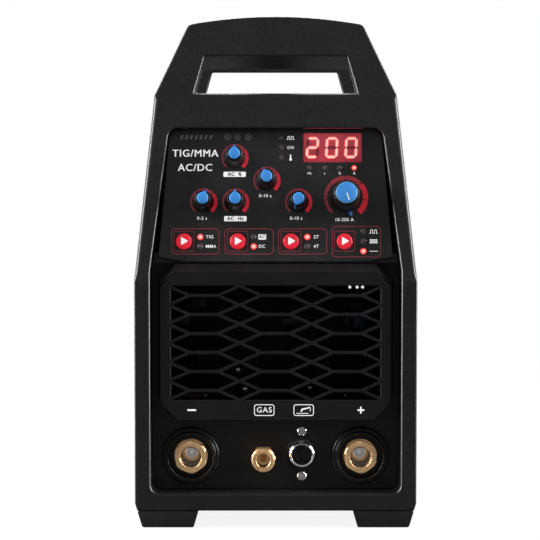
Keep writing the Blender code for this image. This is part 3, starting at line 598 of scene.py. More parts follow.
# ---- Bezels ----
def bezel(end, side, low_depth, high_depth):
    """One end of the case: a frame round a recess, with a hoop for the hand on top."""
    through = slab(recess_outline(), side * (HALF_LENGTH + 10), side * (BEZEL_BACK + 20))
    cuts = [pocket(side, low_depth, high_depth), through, hoop_opening(side)]
    for edge, _ in SIDES:
        cuts += [moved(rod(4, -1.6, 4), side_place(edge, side, z)) for z in SIDE_SCREW_Z]
    shape = softened(carved(bezel_body(side), cuts), partial(bezel_rounding, side))
    balance_normals(add(f"{end}_bezel_moulding", shape, CASE, HERE, f"{end}_bezel"))
    high = FOOT_H - GAP
    outline = arcs([(49.4, high, 0.6), (52.5, 0, 1.2), (FOOT_OUT, 0, 1.6), (foot_side(high), high, 0.6)], 4)
    for edge, name in SIDES:
        block = slab([(edge * x, z) for x, z in outline], side * HALF_LENGTH, side * BEZEL_BACK)
        foot = softened(block, 0.45, 3, 60)
        add(f"{end}_{name}_foot_block", foot, CASE, HERE, f"{end}_{name}_foot")


def bezel_rounding(side, x, y, z):
    """How far each edge of a bezel is rounded: the same all along one loop of edges."""
    hoop = z > SHOULDER[1] - 1.5
    if hoop and abs(x) < 55 and z < 302:
        return 1
    if hoop or abs(x) > case_half(z) - 4 or z < FOOT_H + 3:
        return 0.4
    on_face = HALF_LENGTH - lean(z) - side * y < 1
    return 1.3 if on_face else 0


def pocket(side, low_depth, high_depth):
    """The hollow behind a bezel's faces, one wall's thickness behind both floors."""
    upright = HALF_LENGTH - low_depth - WALL
    bend = KINK_Z + (low_depth - high_depth) / tan(LEAN)
    outline = mirrored([(case_half(z, WALL), z) for z in (POCKET_LOW, KINK_Z, POCKET_TOP)])

    def front(z):
        return side * min(upright, HALF_LENGTH - lean(z) - high_depth - WALL)

    return slab(outline, front, side * (BEZEL_BACK - 5), [KINK_Z, bend])


def hoop_opening(side):
    """The hand opening narrows from the face to an inner rim, then widens a little."""
    outer = arcs([(-53, 275.8, 1.4), (53, 275.8, 1.4), (45.7, 300.9, 1.4), (-45.7, 300.9, 1.4)])
    inner = arcs([(-52, 277, 1.2), (52, 277, 1.2), (47.5, 292.9, 1.6), (-47.5, 292.9, 1.6)])
    rim = [(x, side * 117, z) for x, z in inner]
    mouth = [(x, face(side, 0)(z), z) for x, z in outer]
    beyond = [tuple(1.4 * m - 0.4 * r for m, r in zip(a, b)) for a, b in zip(mouth, rim)]
    back = [(x * 1.01, side * (BEZEL_BACK - 5), z) for x, y, z in rim]
    return loft([beyond, mouth, rim, back])


def side_place(edge, side, z):
    """A side screw's place, with local Z standing out of the case's left or right side."""
    return shift(edge * HALF_WIDTH, side * SIDE_SCREW_Y, z) @ turn(90 * edge, "Y")


# ---- Places on the two end faces ----
PANEL = shift(0, -HALF_LENGTH + PANEL_DEPTH, KINK_Z) @ turn(90 - degrees(LEAN), "X")
REAR_PANEL = shift(0, HALF_LENGTH - REAR_PANEL_DEPTH, KINK_Z) @ turn(180) @ turn(90 - degrees(LEAN), "X")
SWITCH_PLACE = (-36, 205)
GLAND_PLACE = (40, 205)


def up(z):
    """The distance up a leaning panel at which it reaches this height."""
    return (z - KINK_Z) / cos(LEAN)


def spot(x, z, out=0):
    return shift(x, up(z), out)


def on_panel(x, z, out=0):
    return PANEL @ spot(x, z, out)


def centre(name):
    """Where a CAD node's middle is, across and up."""
    low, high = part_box(name)
    return (low.x + high.x) / 2 / MM, (low.z + high.z) / 2 / MM


def on_floor(name):
    """A node's place on its recess's floor, with local Z standing out of the floor."""
    x, z = centre(name)
    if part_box(name)[0].y < 0:
        return shift(x, FRONT_FLOOR_Y, z) @ turn(90, "X")
    return shift(x, REAR_FLOOR_Y, z) @ turn(180) @ turn(90, "X")


def bore(name, radius, steps=32):
    """A cutter for the hole that a node's neck goes through."""
    return moved(rod(radius, -8, 4, steps), on_floor(name))


# ---- Plates that close the recesses ----
def low_plate(top, near, far):
    """An upright plate with rounded lower corners, with clearance all round."""
    half = RECESS_HALF - GAP
    right = [(half, RECESS_LOW_Z + GAP, 5.2), (half, RECESS_BREAK_Z, 6), (recess_half(top) - GAP, top, 0)]
    return slab(arcs(mirrored(right)), near, far)


def ledge(low, high, near, far):
    """A bar right across the recess, between these heights."""
    half = recess_half(high) - 2 * GAP
    return slab(mirrored([(half, low), (half, high)]), near, far)


def front_plate():
    """The upright plate that holds the sockets, with a ledge that stands behind the panel."""
    half, low, high = GRILLE_HOLE
    cutters = [box((-half, FRONT_FLOOR_Y - 5, low), (half, FRONT_FLOOR_Y + 8, high))]
    cutters += [bore(f"{name}_socket_brass", 15.3) for name in ("minus", "plus")]
    cutters += [bore("gas_outlet", 6.3), bore("torch_socket_insert", 8.2)]
    cutters += [bore(f"torch_socket_{name}_screw", 1.9) for name in ("upper", "lower")]
    body = low_plate(STEP_TOP_Z - 1, FRONT_FLOOR_Y, FRONT_FLOOR_Y + WALL)
    step = ledge(STEP_Z, STEP_TOP_Z, face(-1, LEDGE_DEPTH), FRONT_FLOOR_Y + 1)
    shape = carved(body, cutters, [step])
    balance_normals(add("front_plate_moulding", shape, CASE, HERE, "front_plate"))


def rear_plates():
    """The upright sheet that holds the fan, and the leaning one that holds the switch."""
    cutters = [bore("fan_guard", FAN_BORE_R, 72), bore("gas_inlet", 5.3), bore("earth_stud", 5.3)]
    body = low_plate(STEP_Z - 1, REAR_FLOOR_Y - WALL, REAR_FLOOR_Y)
    step = ledge(STEP_Z - WALL, STEP_Z, face(1, REAR_PANEL_DEPTH), REAR_FLOOR_Y - 1)
    shape = carved(body, cutters, [step])
    balance_normals(add("rear_plate_sheet", shape, POWDER, HERE, "rear_plate"))
    low, high = STEP_Z + 2 * GAP, RECESS_TOP_Z - GAP
    right = [(recess_half(low) - GAP, up(low), 0.8), (RECESS_TOP_HALF - GAP, up(high), 6.2)]
    openings = [moved(box((-11.3, -15.3, -9), (11.3, 15.3, 4)), spot(*SWITCH_PLACE)),
                moved(rod(8.3, -9, 4), spot(*GLAND_PLACE))]
    upper = carved(plate(arcs(mirrored(right)), -WALL, 0), openings)
    balance_normals(add("rear_panel_sheet", softened(upper, 0.3, 2, 40), POWDER, REAR_PANEL, "rear_panel"))


# ---- Front grille ----
GRILLE_HOLE = (66.8, 81.7, 155)  # half its width, and its lower and upper edges
GRILLE_FRONT = -HALF_LENGTH + 3
HOOD_FRONT = -HALF_LENGTH + 9.8
GRILLE_BARS = 5  # how deep the honeycomb's bars are
CELL_DX = 22.9
CELL_DZ = 6.09
CELL_FLAT = 9
CELL_Z = 142.5
BAR_HALF = 1
MARK_Z = 75.3
MARK = 0.08  # thickness of the marks on the grille's lower border


def clip(polygon, keep):
    """The part of a convex polygon where keep(x, z) is not negative."""
    result = []
    for i, here in enumerate(polygon):
        there = polygon[(i + 1) % len(polygon)]
        a, b = keep(*here), keep(*there)
        if a >= 0:
            result.append(here)
        if a * b < 0:
            mix = a / (a - b)
            result.append(tuple(p + (q - p) * mix for p, q in zip(here, there)))
    return result


def cell(centre_x, centre_z, flat):
    """One opening of the honeycomb: a hexagon, or a diamond where flat is nought."""
    run = CELL_DX - CELL_FLAT
    slope = hypot(run, CELL_DZ)
    half_x = run + flat - BAR_HALF * slope / CELL_DZ
    if flat:
        half_z = CELL_DZ - BAR_HALF
        corner = half_x - half_z * run / CELL_DZ
        shape = [(half_x, 0), (corner, half_z), (-corner, half_z)]
        shape += [(-half_x, 0), (-corner, -half_z), (corner, -half_z)]
    else:
        half_z = CELL_DZ - BAR_HALF * slope / run
        shape = [(half_x, 0), (0, half_z), (-half_x, 0), (0, -half_z)]
    return [(centre_x + x, centre_z + z) for x, z in shape]


def grille_cells():
    """Hexagons in columns, with diamonds between them, trimmed to the opening."""
    half, low, high = GRILLE_HOLE
    cells = []
    for row in range(-6, 3):
        z = CELL_Z + row * 2 * CELL_DZ
        cells += [cell(column * CELL_DX, z, CELL_FLAT) for column in (-2, 0, 2)]
        cells += [cell(column * CELL_DX, z + CELL_DZ, 0) for column in (-3, -1, 1, 3)]
    for edge in (lambda x, z: half - x, lambda x, z: half + x, lambda x, z: z - low, lambda x, z: high - z):
        cells = [clip(polygon, edge) for polygon in cells]
    return [polygon for polygon in cells if len(polygon) > 2 and extent(polygon) > 2]


def extent(polygon):
    return min(max(values) - min(values) for values in zip(*polygon))


def grille_outline(out, low, high):
    right = [(62.8 + out, low, 0.8), (73.9 + out, 80.2, 0.8), (73.9 + out, high - 9, 0.8), (64.9, high, 0.8)]
    return arcs(mirrored(right), 2)


def grille_rounding(x, y, z):
    half, low, high = GRILLE_HOLE
    if abs(x) < half + 0.5 and low - 0.5 < z < high + 0.5:
        return 0.45 if y < GRILLE_FRONT + 0.2 else 0
    return 0.7


def front_grille():
    """A plate with a honeycomb, and the box behind it, whose top slopes up to the panel."""
    floor = FRONT_FLOOR_Y - GAP
    plain, hood = grille_outline(0, 68.6, 163.2), grille_outline(1, 67.6, 168.6)
    places = ((plain, GRILLE_FRONT), (plain, GRILLE_FRONT + 0.6), (hood, HOOD_FRONT), (hood, floor))
    body = loft([[(x, y, z) for x, z in outline] for outline, y in places])
    half, low, high = GRILLE_HOLE
    hollow = box((-half, GRILLE_FRONT + GRILLE_BARS, low), (half, floor + 2, high))
    cells = [slab(polygon, GRILLE_FRONT - 2, GRILLE_FRONT + GRILLE_BARS + 1) for polygon in grille_cells()]
    shape = softened(carved(body, [hollow, merged(cells)]), grille_rounding, 2)
    balance_normals(add("grille_moulding", shape, TRIM, HERE, "front_grille"))
    grille_marks()


def grille_marks():
    """Plain polarity signs, the gas mark and a torch sign on the grille's lower border."""
    long, thin = 2.2, 0.5
    arm = [(thin, -long), (thin, -thin), (long, -thin), (long, thin), (thin, thin), (thin, long)]
    frame_outlines = rounded_box(-6.5, -3.7, 6.5, 3.7, 1.6), rounded_box(-6, -3.2, 6, 3.2, 1.1)
    for name, x, lift, shape in (
        ("minus_sign", -53.6, 0, plate(rounded_box(-2.8, -0.55, 2.8, 0.55, 0.2), 0, MARK)),
        ("plus_sign", 54.4, 0, plate(mirrored(arm), 0, MARK)),
        ("gas_mark_frame", -7.3, 0, band(*frame_outlines, 0, MARK)),
        ("torch_mark_frame", 17.9, 0, band(*frame_outlines, 0, MARK)),
        ("gas_mark", -7.3, MARK / 2, lettering("GAS", 5)),
        ("torch_mark", 17.9, 0, torch_sign()),
    ):
        add(name, shape, INK_WHITE, shift(x, GRILLE_FRONT, MARK_Z) @ turn(90, "X") @ shift(0, 0, lift))


def torch_sign():
    """A torch: a handle that slopes down to a nozzle, its lead, and a line for the work."""
    return merged(plate(outline, 0, MARK) for outline in (
        [(-1.2, 0.9), (3.9, 2.1), (4.1, 1.3), (-0.6, 0.1)],
        [(-1.4, 1), (-0.5, 0.2), (-1.5, -1.3), (-2, -0.9)],
        [(-4.6, -2.3), (3, -2.3), (3, -1.9), (-4.6, -1.9)],
        [(3.9, 2.1), (4.5, 1.2), (4.3, -0.9), (3.9, -0.9), (4.1, 1.2), (3.8, 1.7)],
    ))


# ---- Behind the grille ----
BOARD_Y = -114
BOARD_PARTS = (
    # name, finish, x and z of the middle, width, height and how far it stands out
    ("resistor", PART_GREY, -50, 140, 10, 6, 9), ("relay", PART_BLUE, 55, 127.5, 8, 7, 12),
    ("filter", PART_BROWN, 9, 128, 10, 4, 8), ("varistor", PART_GREEN, 47.5, 127.5, 3, 6, 5),
    ("bridge", PART_BROWN, 53.5, 138, 9, 3, 6), ("terminal", PART_GREY, -60, 128, 8, 4, 7),
    ("driver", DARK_AND_SHADED, -6, 140, 18, 9, 6), ("coupler", DARK_AND_SHADED, 18, 110, 14, 7, 8),
    ("coil", DARK_AND_SHADED, -44, 104, 16, 14, 12),
)


def inner_board():
    """A dark board behind the grille, notched for the busbars, with a few parts on it. Their near-black
    finish is partly their own colour and partly painted shade inside the case.
    """
    right = [(45.5, 66), (45.5, 78.5), (63.5, 78.5), (63.5, 66), (84, 66), (84, 172)]
    sheet = slab(mirrored(right), BOARD_Y, BOARD_Y + 1.2)
    add("inner_board", softened(sheet, 0.2, 2, 60), DARK_AND_SHADED)

    def on_board(x, z, out=0):
        return shift(x, BOARD_Y - out, z) @ turn(90, "X")

    heads = [moved(cross_screw(1.9), on_board(x, z, 0.1)) for x, z in ((-24.8, 94.4), (-20.2, 81.4))]
    add("inner_board_screws", merged(heads), STEEL)
    post = [(0, 0), (1.6, 0), (1.6, 9), (1.2, 9.6), (0, 9.8)]
    add("inner_board_post", turned(post, 20), STEEL, on_board(22.5, 83.5))
    dome = [(0, 0), (0.9, 0), (0.9, 1.8), (0.5, 2.5), (0, 2.6)]
    lamps = [moved(turned(dome, 20), on_board(x, 150.2, 6)) for x in (48.8, 53.6, 57.2)]
    add("inner_board_lamps", merged(lamps), LAMP_WHITE)
    holder = box((46, BOARD_Y - 6, 148.6), (60, BOARD_Y - 0.02, 152.4))
    add("inner_lamp_holder", softened(holder, 0.4, 2), DARK_AND_SHADED, slot="trim_plastic")
    for name, finish, x, z, wide, tall, deep in BOARD_PARTS:
        block = box((-wide / 2, -tall / 2, 0.02), (wide / 2, tall / 2, deep))
        add(f"inner_{name}", softened(block, 0.5, 2), finish, on_board(x, z))
    ribs = [moved(box((-0.4, -7, 0.02), (0.4, 7, 5)), on_board(-70 + 20 * i, 118)) for i in range(8)]
    add("inner_board_ribs", merged(ribs), DARK_AND_SHADED)


# ---- Control panel ----
BUTTON_Z = 182.7
BUTTON_FRAMES = ((-66.9, -36, 174.4, 190.8), (-32.7, -1.4, 174.4, 190.8),
                 (1.6, 32.9, 174.4, 190.8), (36, 67.3, 172.6, 192.3))
BUTTONS = ("process", "polarity", "trigger", "pulse")
LAMP_X = (-48.2, -14, 20.2, 56.1)  # the lamps beside each button
LAMP_ROWS = (185.4, 179.4)
PULSE_ROWS = (188.8, 182.7, 176.4)
LIT_LAMPS = (0, 1, 0, 2)  # which of each button's lamps is on
SMALL_KNOBS = ("balance", "slope", "preflow", "frequency", "postflow")
KNOB_TURNS = {"balance": 0, "slope": -20, "preflow": 20, "frequency": 0, "postflow": -155, "current": 163}
DIAL_INKS = (INK_DIM_RED, INK_MID_RED, INK_RED)
SMALL_DIAL = ((-140, -32), (-29, 48), (51, 140))
LARGE_DIAL = ((-138, -98), (-95.5, -49), (-46.5, -1.3), (1.3, 46.5), (49, 95.5), (98, 138))
DIAL_END = 140
DISPLAY_X = (18, 55.1)
DISPLAY_UP = (up(233.1), up(251.3))
HEADING_Z = 248.9
STATE_ROWS = (248.4, 242.2, 235.8)
INK = 0.06  # thickness of the panel's print
ON_INK = INK / 2  # lettering is centred on its own thickness
HEADING_STROKES = ((-0.11, 0), (0.11, 0.01))  # two passes a hair apart make the heading bold


def control_panel():
    right = [(58.3, up(STEP_Z + 0.9), 0.8), (75, up(172.9), 0.8), (67.94, up(254.3), 6.2)]
    cutters = [moved(rod(3.6, -4, 2), spot(*knob_place(name))) for name in SMALL_KNOBS + ("current",)]
    cutters += [moved(rod(5.2, -4, 2), spot(button_x(name), BUTTON_Z)) for name in BUTTONS]
    (x0, x1), (v0, v1) = DISPLAY_X, DISPLAY_UP
    cutters.append(plate(rounded_box(x0, v0, x1, v1, 1), -4, 2))
    shape = softened(carved(plate(arcs(mirrored(right)), -PANEL_THICK, 0), cutters), 0.35, 2)
    balance_normals(add("panel_plate", shape, PANEL_FILM, PANEL, "control_panel"))


def knob_place(name):
    """(x, z) at which a knob's axis meets the panel's face."""
    place = PANEL.inverted() @ Vector(PIVOTS[f"{name}_knob_body"])
    return place.x / MM, place.y / MM * cos(LEAN) + KINK_Z


def button_x(name):
    return centre(f"{name}_button")[0]


def printed(outline):
    return plate(outline, 0, INK)


def write(name, text, size, x, z):
    add(name, lettering(text, size), INK_WHITE, on_panel(x, z, ON_INK))


def dark_label(strip, words, text, size, bold, place, wide, tall):
    """Dark words on a white strip."""
    outline = rounded_box(-wide / 2, -tall / 2, wide / 2, tall / 2, 0.4, 2)
    add(strip, printed(outline), INK_WHITE, on_panel(*place))
    add(words, lettering(text, size, bold), TRIM, on_panel(*place, INK + ON_INK))


def scale_band(radius, start, end, thin, thick):
    """A stretch of a dial's ring, in clockwise degrees from the top, that widens as it goes."""
    steps = max(3, round((end - start) / 6))
    outer, inner = [], []
    for i in range(steps + 1):
        angle = start + (end - start) * i / steps
        half = (thin + (thick - thin) * (angle + DIAL_END) / (2 * DIAL_END)) / 2
        way = (sin(radians(angle)), cos(radians(angle)))
        outer.append(((radius + half) * way[0], (radius + half) * way[1]))
        inner.append(((radius - half) * way[0], (radius - half) * way[1]))
    return printed(outer + inner[::-1])


def dials():
    """A red ring round each knob that widens and brightens clockwise."""
    for name in SMALL_KNOBS + ("current",):
        large = name == "current"
        stretches, measures = (LARGE_DIAL, (12.8, 1.8, 3.8)) if large else (SMALL_DIAL, (7.9, 0.9, 2.4))
        radius, thin, thick = measures
        for i, (start, end) in enumerate(stretches):
            finish = DIAL_INKS[i * len(DIAL_INKS) // len(stretches)]
            ring = scale_band(radius, start, end, thin, thick)
            add(f"{name}_dial_{i + 1}", ring, finish, on_panel(*knob_place(name)))


def knob_labels():
    """Plain units and ranges below the knobs."""
    for name, text in (("balance", "AC  %"), ("frequency", "AC  Hz")):
        x, z = knob_place(name)
        dark_label(f"{name}_label", f"{name}_unit", text, 3.1, 0.04, (x, z - 10.6), 14.3, 3.3)
    for name, text, aside, drop in (("slope", "0-10 s", -0.9, 9.9), ("preflow", "0-2 s", -0.8, 10.4),
                                    ("postflow", "0-10 s", -1.4, 10.4), ("current", "10-200 A", -0.9, 14.1)):
        x, z = knob_place(name)
        write(f"{name}_range", text, 2.9, x + aside, z - drop)


def led(name, x, z, lit, radius):
    """A lens in a thin collar, with a bright middle when it is lit. The collar is dark when off, and painted
    red with the lamp's glow when lit.
    """
    where = on_panel(x, z)
    collar = turned([(radius - 0.1, 0), (radius + 0.4, 0), (radius + 0.3, 0.3), (radius, 0.35)], 24)
    # Painted light: the collar of a lit lamp is red with its glow.
    add(f"{name}_collar", collar, INK_RED if lit else INK_FAINT, where)
    dome = [(0, -0.3), (radius, -0.3), (radius, 0.1), (radius * 0.8, 0.42), (radius * 0.45, 0.6), (0, 0.66)]
    add(name, turned(dome, 24), LED_LIT if lit else LED_OFF, where)
    if lit:
        core = [(0, 0.5), (radius * 0.62, 0.5), (radius * 0.5, 0.62), (radius * 0.25, 0.69), (0, 0.7)]
        add(f"{name}_core", turned(core, 24), LED_CORE, where)


def outline_band(x0, z0, x1, z1, radius, width):
    v0, v1 = up(z0), up(z1)
    inner = rounded_box(x0 + width, v0 + width, x1 - width, v1 - width, radius - width)
    return band(rounded_box(x0, v0, x1, v1, radius), inner, 0, INK)


def button_groups():
    """A red frame round each button and its lamps, with plain signs beside the lamps."""
    for name, (x0, x1, z0, z1), lamp_x, lit in zip(BUTTONS, BUTTON_FRAMES, LAMP_X, LIT_LAMPS):
        x = button_x(name)
        frames = [outline_band(x0, z0, x1, z1, 2.6, 0.42),
                  outline_band(x - 6.6, BUTTON_Z - 6.5, x + 6.6, BUTTON_Z + 6.5, 1.2, 0.32)]
        add(f"{name}_frame", merged(frames), INK_FRAME, PANEL)
        for i, z in enumerate(PULSE_ROWS if name == "pulse" else LAMP_ROWS):
            led(f"{name}_lamp_{i + 1}", lamp_x, z, i == lit, 1.8)
    signs = (("process", -42.2, 0, "TIG"), ("process", -41.4, 1, "MMA"), ("polarity", -8.8, 1, "DC"),
             ("trigger", 25.9, 0, "2T"), ("trigger", 25.9, 1, "4T"))
    for name, x, row, text in signs:
        write(f"{name}_sign_{text}", text, 2.9, x, LAMP_ROWS[row])
    dark_label("polarity_sign_box", "polarity_sign_AC", "AC", 2.9, 0.02, (-8.6, LAMP_ROWS[0]), 5, 3.4)
    waves = (square_wave(2, 5, 2.2), square_wave(4, 5, 2.2), [(-2.5, 0), (2.5, 0)])
    for i, (z, points) in enumerate(zip(PULSE_ROWS, waves)):
        add(f"pulse_sign_{i + 1}", drawn_line(points), INK_WHITE, on_panel(62.6, z))


def drawn_line(points, thin=0.34):
    """A line of level and upright strokes."""
    steps = []
    for (x0, y0), (x1, y1) in zip(points, points[1:]):
        low = (min(x0, x1) - thin / 2, min(y0, y1) - thin / 2)
        high = (max(x0, x1) + thin / 2, max(y0, y1) + thin / 2)
        steps.append(printed([low, (high[0], low[1]), high, (low[0], high[1])]))
    return merged(steps)


def square_wave(pulses, width, height):
    points = [(-width / 2, -height / 2)]
    pitch = width / pulses
    for i in range(pulses):
        x = -width / 2 + i * pitch
        points += [(x + pitch * 0.25, -height / 2), (x + pitch * 0.25, height / 2)]
        points += [(x + pitch * 0.75, height / 2), (x + pitch * 0.75, -height / 2)]
    return points + [(width / 2, -height / 2)]


def heading():
    """The kinds of process and of current, below a row of plain strokes."""
    for name, text, z in (("process", "TIG/MMA", 238.4), ("current", "AC/DC", 229.3)):
        passes = [moved(lettering(text, 6.6, 0), shift(aside, 0, lift)) for aside, lift in HEADING_STROKES]
        add(f"{name}_heading", merged(passes), INK_WHITE, on_panel(-51.6, z, ON_INK))
    starts = [-61.5 + 3.1 * i for i in range(7)]
    strokes = [printed([(x, -1.4), (x + 1.5, -1.4), (x + 2.4, 1.4), (x + 0.9, 1.4)]) for x in starts]
    add("heading_strokes", merged(strokes), INK_GREY, on_panel(0, HEADING_Z))


def small_signs():
    """Three plain outlines at the top, framed lamps beside the display, and lamps below it."""
    for i, x in enumerate((-30.8, -24.6, -17.6)):
        ring = band(circle(2, 24), circle(1.5, 24), 0, INK)
        bar = moved(printed(rounded_box(-0.3, -0.95, 0.3, 0.95, 0.25, 2)), turn(60 * i))
        add(f"round_sign_{i + 1}", merged([ring, bar]), INK_GREY, on_panel(x, HEADING_Z))
    for i, z in enumerate(STATE_ROWS):
        if i:
            frame_band = outline_band(0, z - 2.2, 14.8, z + 2.2, 1.5, 0.25)
            add(f"lamp_frame_{i + 1}", frame_band, INK_FAINT, PANEL)
        led(f"state_lamp_{i + 1}", 3.4, z, False, 1.35)
    wave, heat = drawn_line(square_wave(2, 4.6, 1.9)), [rounded_box(-0.42, -0.6, 0.42, 2, 0.4, 3)]
    heat.append(circle(0.85, 20, (0, -1.1)))
    add("state_sign_wave", wave, INK_WHITE, on_panel(9.6, STATE_ROWS[0]))
    write("state_sign_on", "ON", 2.7, 9.6, STATE_ROWS[1])
    add("state_sign_heat", merged(map(printed, heat)), INK_WHITE, on_panel(9.6, STATE_ROWS[2]))
    for i, (x, unit) in enumerate(((21.7, "Hz"), (31.4, "s"), (41.1, "%"), (50.4, "A"))):
        led(f"unit_lamp_{i + 1}", x, 229.3, unit == "A", 1.5)
        write(f"unit_sign_{i + 1}", unit, 2.3, x, 225.8)


# ---- Display ----
DIGIT_W = 8.6
DIGIT_H = 14.2
DIGIT_PITCH = 12.4
SEGMENT = 2.15
DIGIT_SLANT = 0.06
LIT_BAR = (("lit", SEGMENT / 2, 0), ("core", SEGMENT / 3.4, 0.02))  # finish, half its width, and its top
OFF_BAR = (("off", SEGMENT / 2, 0),)
DIGITS = {"2": "abged", "0": "abcdef"}
SEGMENT_ENDS = {  # across and up, where 1 is the digit's right or upper edge
    "a": ((-1, 1), (1, 1)), "b": ((1, 1), (1, 0)), "c": ((1, 0), (1, -1)), "d": ((-1, -1), (1, -1)),
    "e": ((-1, 0), (-1, -1)), "f": ((-1, 1), (-1, 0)), "g": ((-1, 0), (1, 0)),
}


def segment_shape(start, end, half):
    """A bar with pointed ends between two places on a digit."""
    a, b = [Vector((x * (DIGIT_W - SEGMENT), y * (DIGIT_H - SEGMENT))) / 2 for x, y in (start, end)]
    along = (b - a).normalized()
    across = Vector((-along.y, along.x)) * half
    a += along * 0.22
    b -= along * 0.22
    inner_a, inner_b = a + along * half, b - along * half
    return [a, inner_a - across, inner_b - across, b, inner_b + across, inner_a + across]


def display():
    """The red window, and its digits: bars that are off, or lit with a brighter core."""
    (x0, x1), (v0, v1) = DISPLAY_X, DISPLAY_UP
    lens = plate(rounded_box(x0 + GAP, v0 + GAP, x1 - GAP, v1 - GAP, 0.8), -1.6, -0.05)
    add("display_lens", softened(lens, 0.25, 2), LENS, PANEL, "display_window")
    groups = {"lit": [], "core": [], "off": []}
    for i, digit in enumerate("200"):
        place = shift((x0 + x1) / 2 - 0.5 + (i - 1) * DIGIT_PITCH, (v0 + v1) / 2)
        for name, ends in SEGMENT_ENDS.items():
            for group, half, top in LIT_BAR if name in DIGITS[digit] else OFF_BAR:
                outline = [(x + y * DIGIT_SLANT, y) for x, y in segment_shape(*ends, half)]
                groups[group].append(moved(plate(outline, -0.3, top), place))
    for group, finish in (("lit", SEGMENT_LIT), ("core", SEGMENT_CORE), ("off", SEGMENT_OFF)):
        add(f"digits_{group}", merged(groups[group]), finish, PANEL)


# ---- Knobs and buttons ----
def drop(point, radius):
    """A round outline drawn out to a point at the top."""

    def shape(angle):
        off = abs((angle - pi / 2 + pi) % (2 * pi) - pi)
        return radius + point * max(0, 1 - off / 0.75) ** 1.6

    return shape


def knob(name, base_r, top_r, cap_r, height, flutes, point):
    where = on_panel(*knob_place(name)) @ turn(-KNOB_TURNS[name])
    body = f"{name}_knob_body"
    high = height - 1.6
    profile = [(0, -3.7), (3, -3.7), (3, 0.5), (base_r - 0.3, 0.5), (base_r, 0.8), (base_r, 2.6)]
    profile += [(base_r - 0.3, 3.1), (top_r + 1, 3.5)]
    for share in (0, 0.5, 1):
        profile.append((fluted(top_r + 0.7 - 0.6 * share, flutes, 0.32), 4.3 + (high - 5.3) * share))
    profile += [(fluted(top_r - 0.25, flutes, 0.15), high - 0.3), (top_r - 0.6, high), (1.8, high)]
    profile += [(1.8, height - 6), (0, height - 6)]
    add(f"{name}_knob_grip", turned(profile, flutes * 8), KNOB, where, f"{name}_knob", body=body)
    low, edge = high + GAP, partial(drop, point)
    cap = [(0, height - 5.5), (1.4, height - 5.5), (1.4, low), (edge(cap_r - 0.15), low)]
    cap += [(edge(cap_r), low + 0.2), (edge(cap_r), height - 0.65), (edge(cap_r - 0.18), height - 0.35)]
    cap += [(cap_r - 0.6, height - 0.12), (cap_r * 0.5, height), (0, height)]
    add(f"{name}_knob_top", turned(cap), KNOB_BLUE, where, f"{name}_knob_cap", body=body)
    return partial(add, where=where, body=body, slot="knob_cap_plastic")


def knobs():
    for name in SMALL_KNOBS:
        add_to = knob(name, 6.6, 5.2, 3.6, 19, 15, 1.1)
        mark = [(-0.45, 5), (0.45, 5), (0.45, 5.85), (-0.45, 5.85)]
        add_to(f"{name}_knob_mark", plate(mark, 4, 17.2), MARK_BLUE)
    add_to = knob("current", 8.8, 8.4, 6.5, 23.5, 24, 0)
    line = plate(rounded_box(-0.26, 0.4, 0.26, 5.2, 0.2, 2), 23.3, 23.53)
    add_to("current_knob_line", line, INK_WHITE)
    rim = turned([(6.52, 21.9), (6.85, 21.9), (6.85, 23.1), (6.7, 23.25), (6.52, 23.25)], 72)
    add_to("current_knob_rim", rim, RIM_BLUE)
    pointer = plate([(-1.7, 8.4), (1.7, 8.4), (1.3, 12.5), (0, 13.2), (-1.3, 12.5)], 0.6, 1.5)
    add_to("current_knob_pointer", softened(pointer, 0.2, 2), DEEP_BLUE)
    tip = plate([(-0.5, 10), (0.5, 10), (0.35, 12.3), (-0.35, 12.3)], 1.5, 1.56)
    add_to("current_knob_tip", tip, KNOB_BLUE)


def buttons():
    profile = [(0, -6.4), (3.5, -6.4), (3.5, -3.8), (5.9, -3.8), (5.9, -2.6), (4.9, -2.6)]
    profile += [(4.9, 0.9), (4.75, 1.25), (4.4, 1.48), (3.6, 1.6), (0, 1.62)]
    arrow = arcs([(-1.75, -2.65, 0.35), (2.85, 0, 0.35), (-1.75, 2.65, 0.35)], 3)
    for name in BUTTONS:
        where, body = on_panel(button_x(name), BUTTON_Z), f"{name}_button_body"
        add(f"{name}_button_dome", turned(profile), BUTTON_RED, where, f"{name}_button", body=body)
        add(f"{name}_button_arrow", plate(arrow, 1.5, 1.68), INK_WHITE, where, body=body,
            slot="button_plastic")


# ---- Front sockets ----
TORCH_PINS = 5


def power_socket(name):
    where = on_floor(f"{name}_socket_brass")
    rim = [(12, -22), (15, -22), (15, GAP), (18.2, GAP), (18.5, 0.6), (18.5, 2.9), (18.2, 3.5), (17.6, 3.9)]
    rim += [(16.2, 4), (15.9, 4.3), (15.75, 7.4), (15.5, 7.9), (14.7, 8), (14.35, 7.6), (14, 1.9)]
    rim += [(13.7, 1.65), (10.75, 1.65), (10.75, 1.38), (12, 1.38)]
    add(f"{name}_socket_ring", turned(rim, 72), TRIM, where, f"{name}_socket_insulator")
    flats, edge = hexagon(19.8, 10.6, 5), hexagon(19.8, 10.05, 5)
    body = [(4.3, -26), (11.6, -26), (11.6, 1.3), (flats, 1.4), (flats, 8.4), (edge, 8.8), (9.2, 9)]
    body += [(7.3, 9), (6.75, 8.7), (6.5, 8.2), (6.5, -14), (4.3, -14.5)]
    add(f"{name}_socket_body", moved(turned(body, 72), turn(90)), BRASS, where, f"{name}_socket_brass")
    # Painted shade: a dark lining stands for the shade deep in the bore.
    bore_shade = [(6.1, -13.9), (6.45, -13.9), (6.45, 7.9), (6.1, 7.6)]
    add(f"{name}_socket_bore_shade", turned(bore_shade), BRASS_IN_SHADE, where)
    head = hexagon(13)
    bolt = [(0, -35), (head, -35), (head, -29.4), (4, -29.4), (4, -14), (3.9, -13.2), (3.4, -12.2)]
    bolt += [(2.4, -11.3), (1.2, -10.9), (0, -10.8)]
    add(f"{name}_socket_stud", turned(bolt, 36), STUD_STEEL, where, f"{name}_socket_bolt")


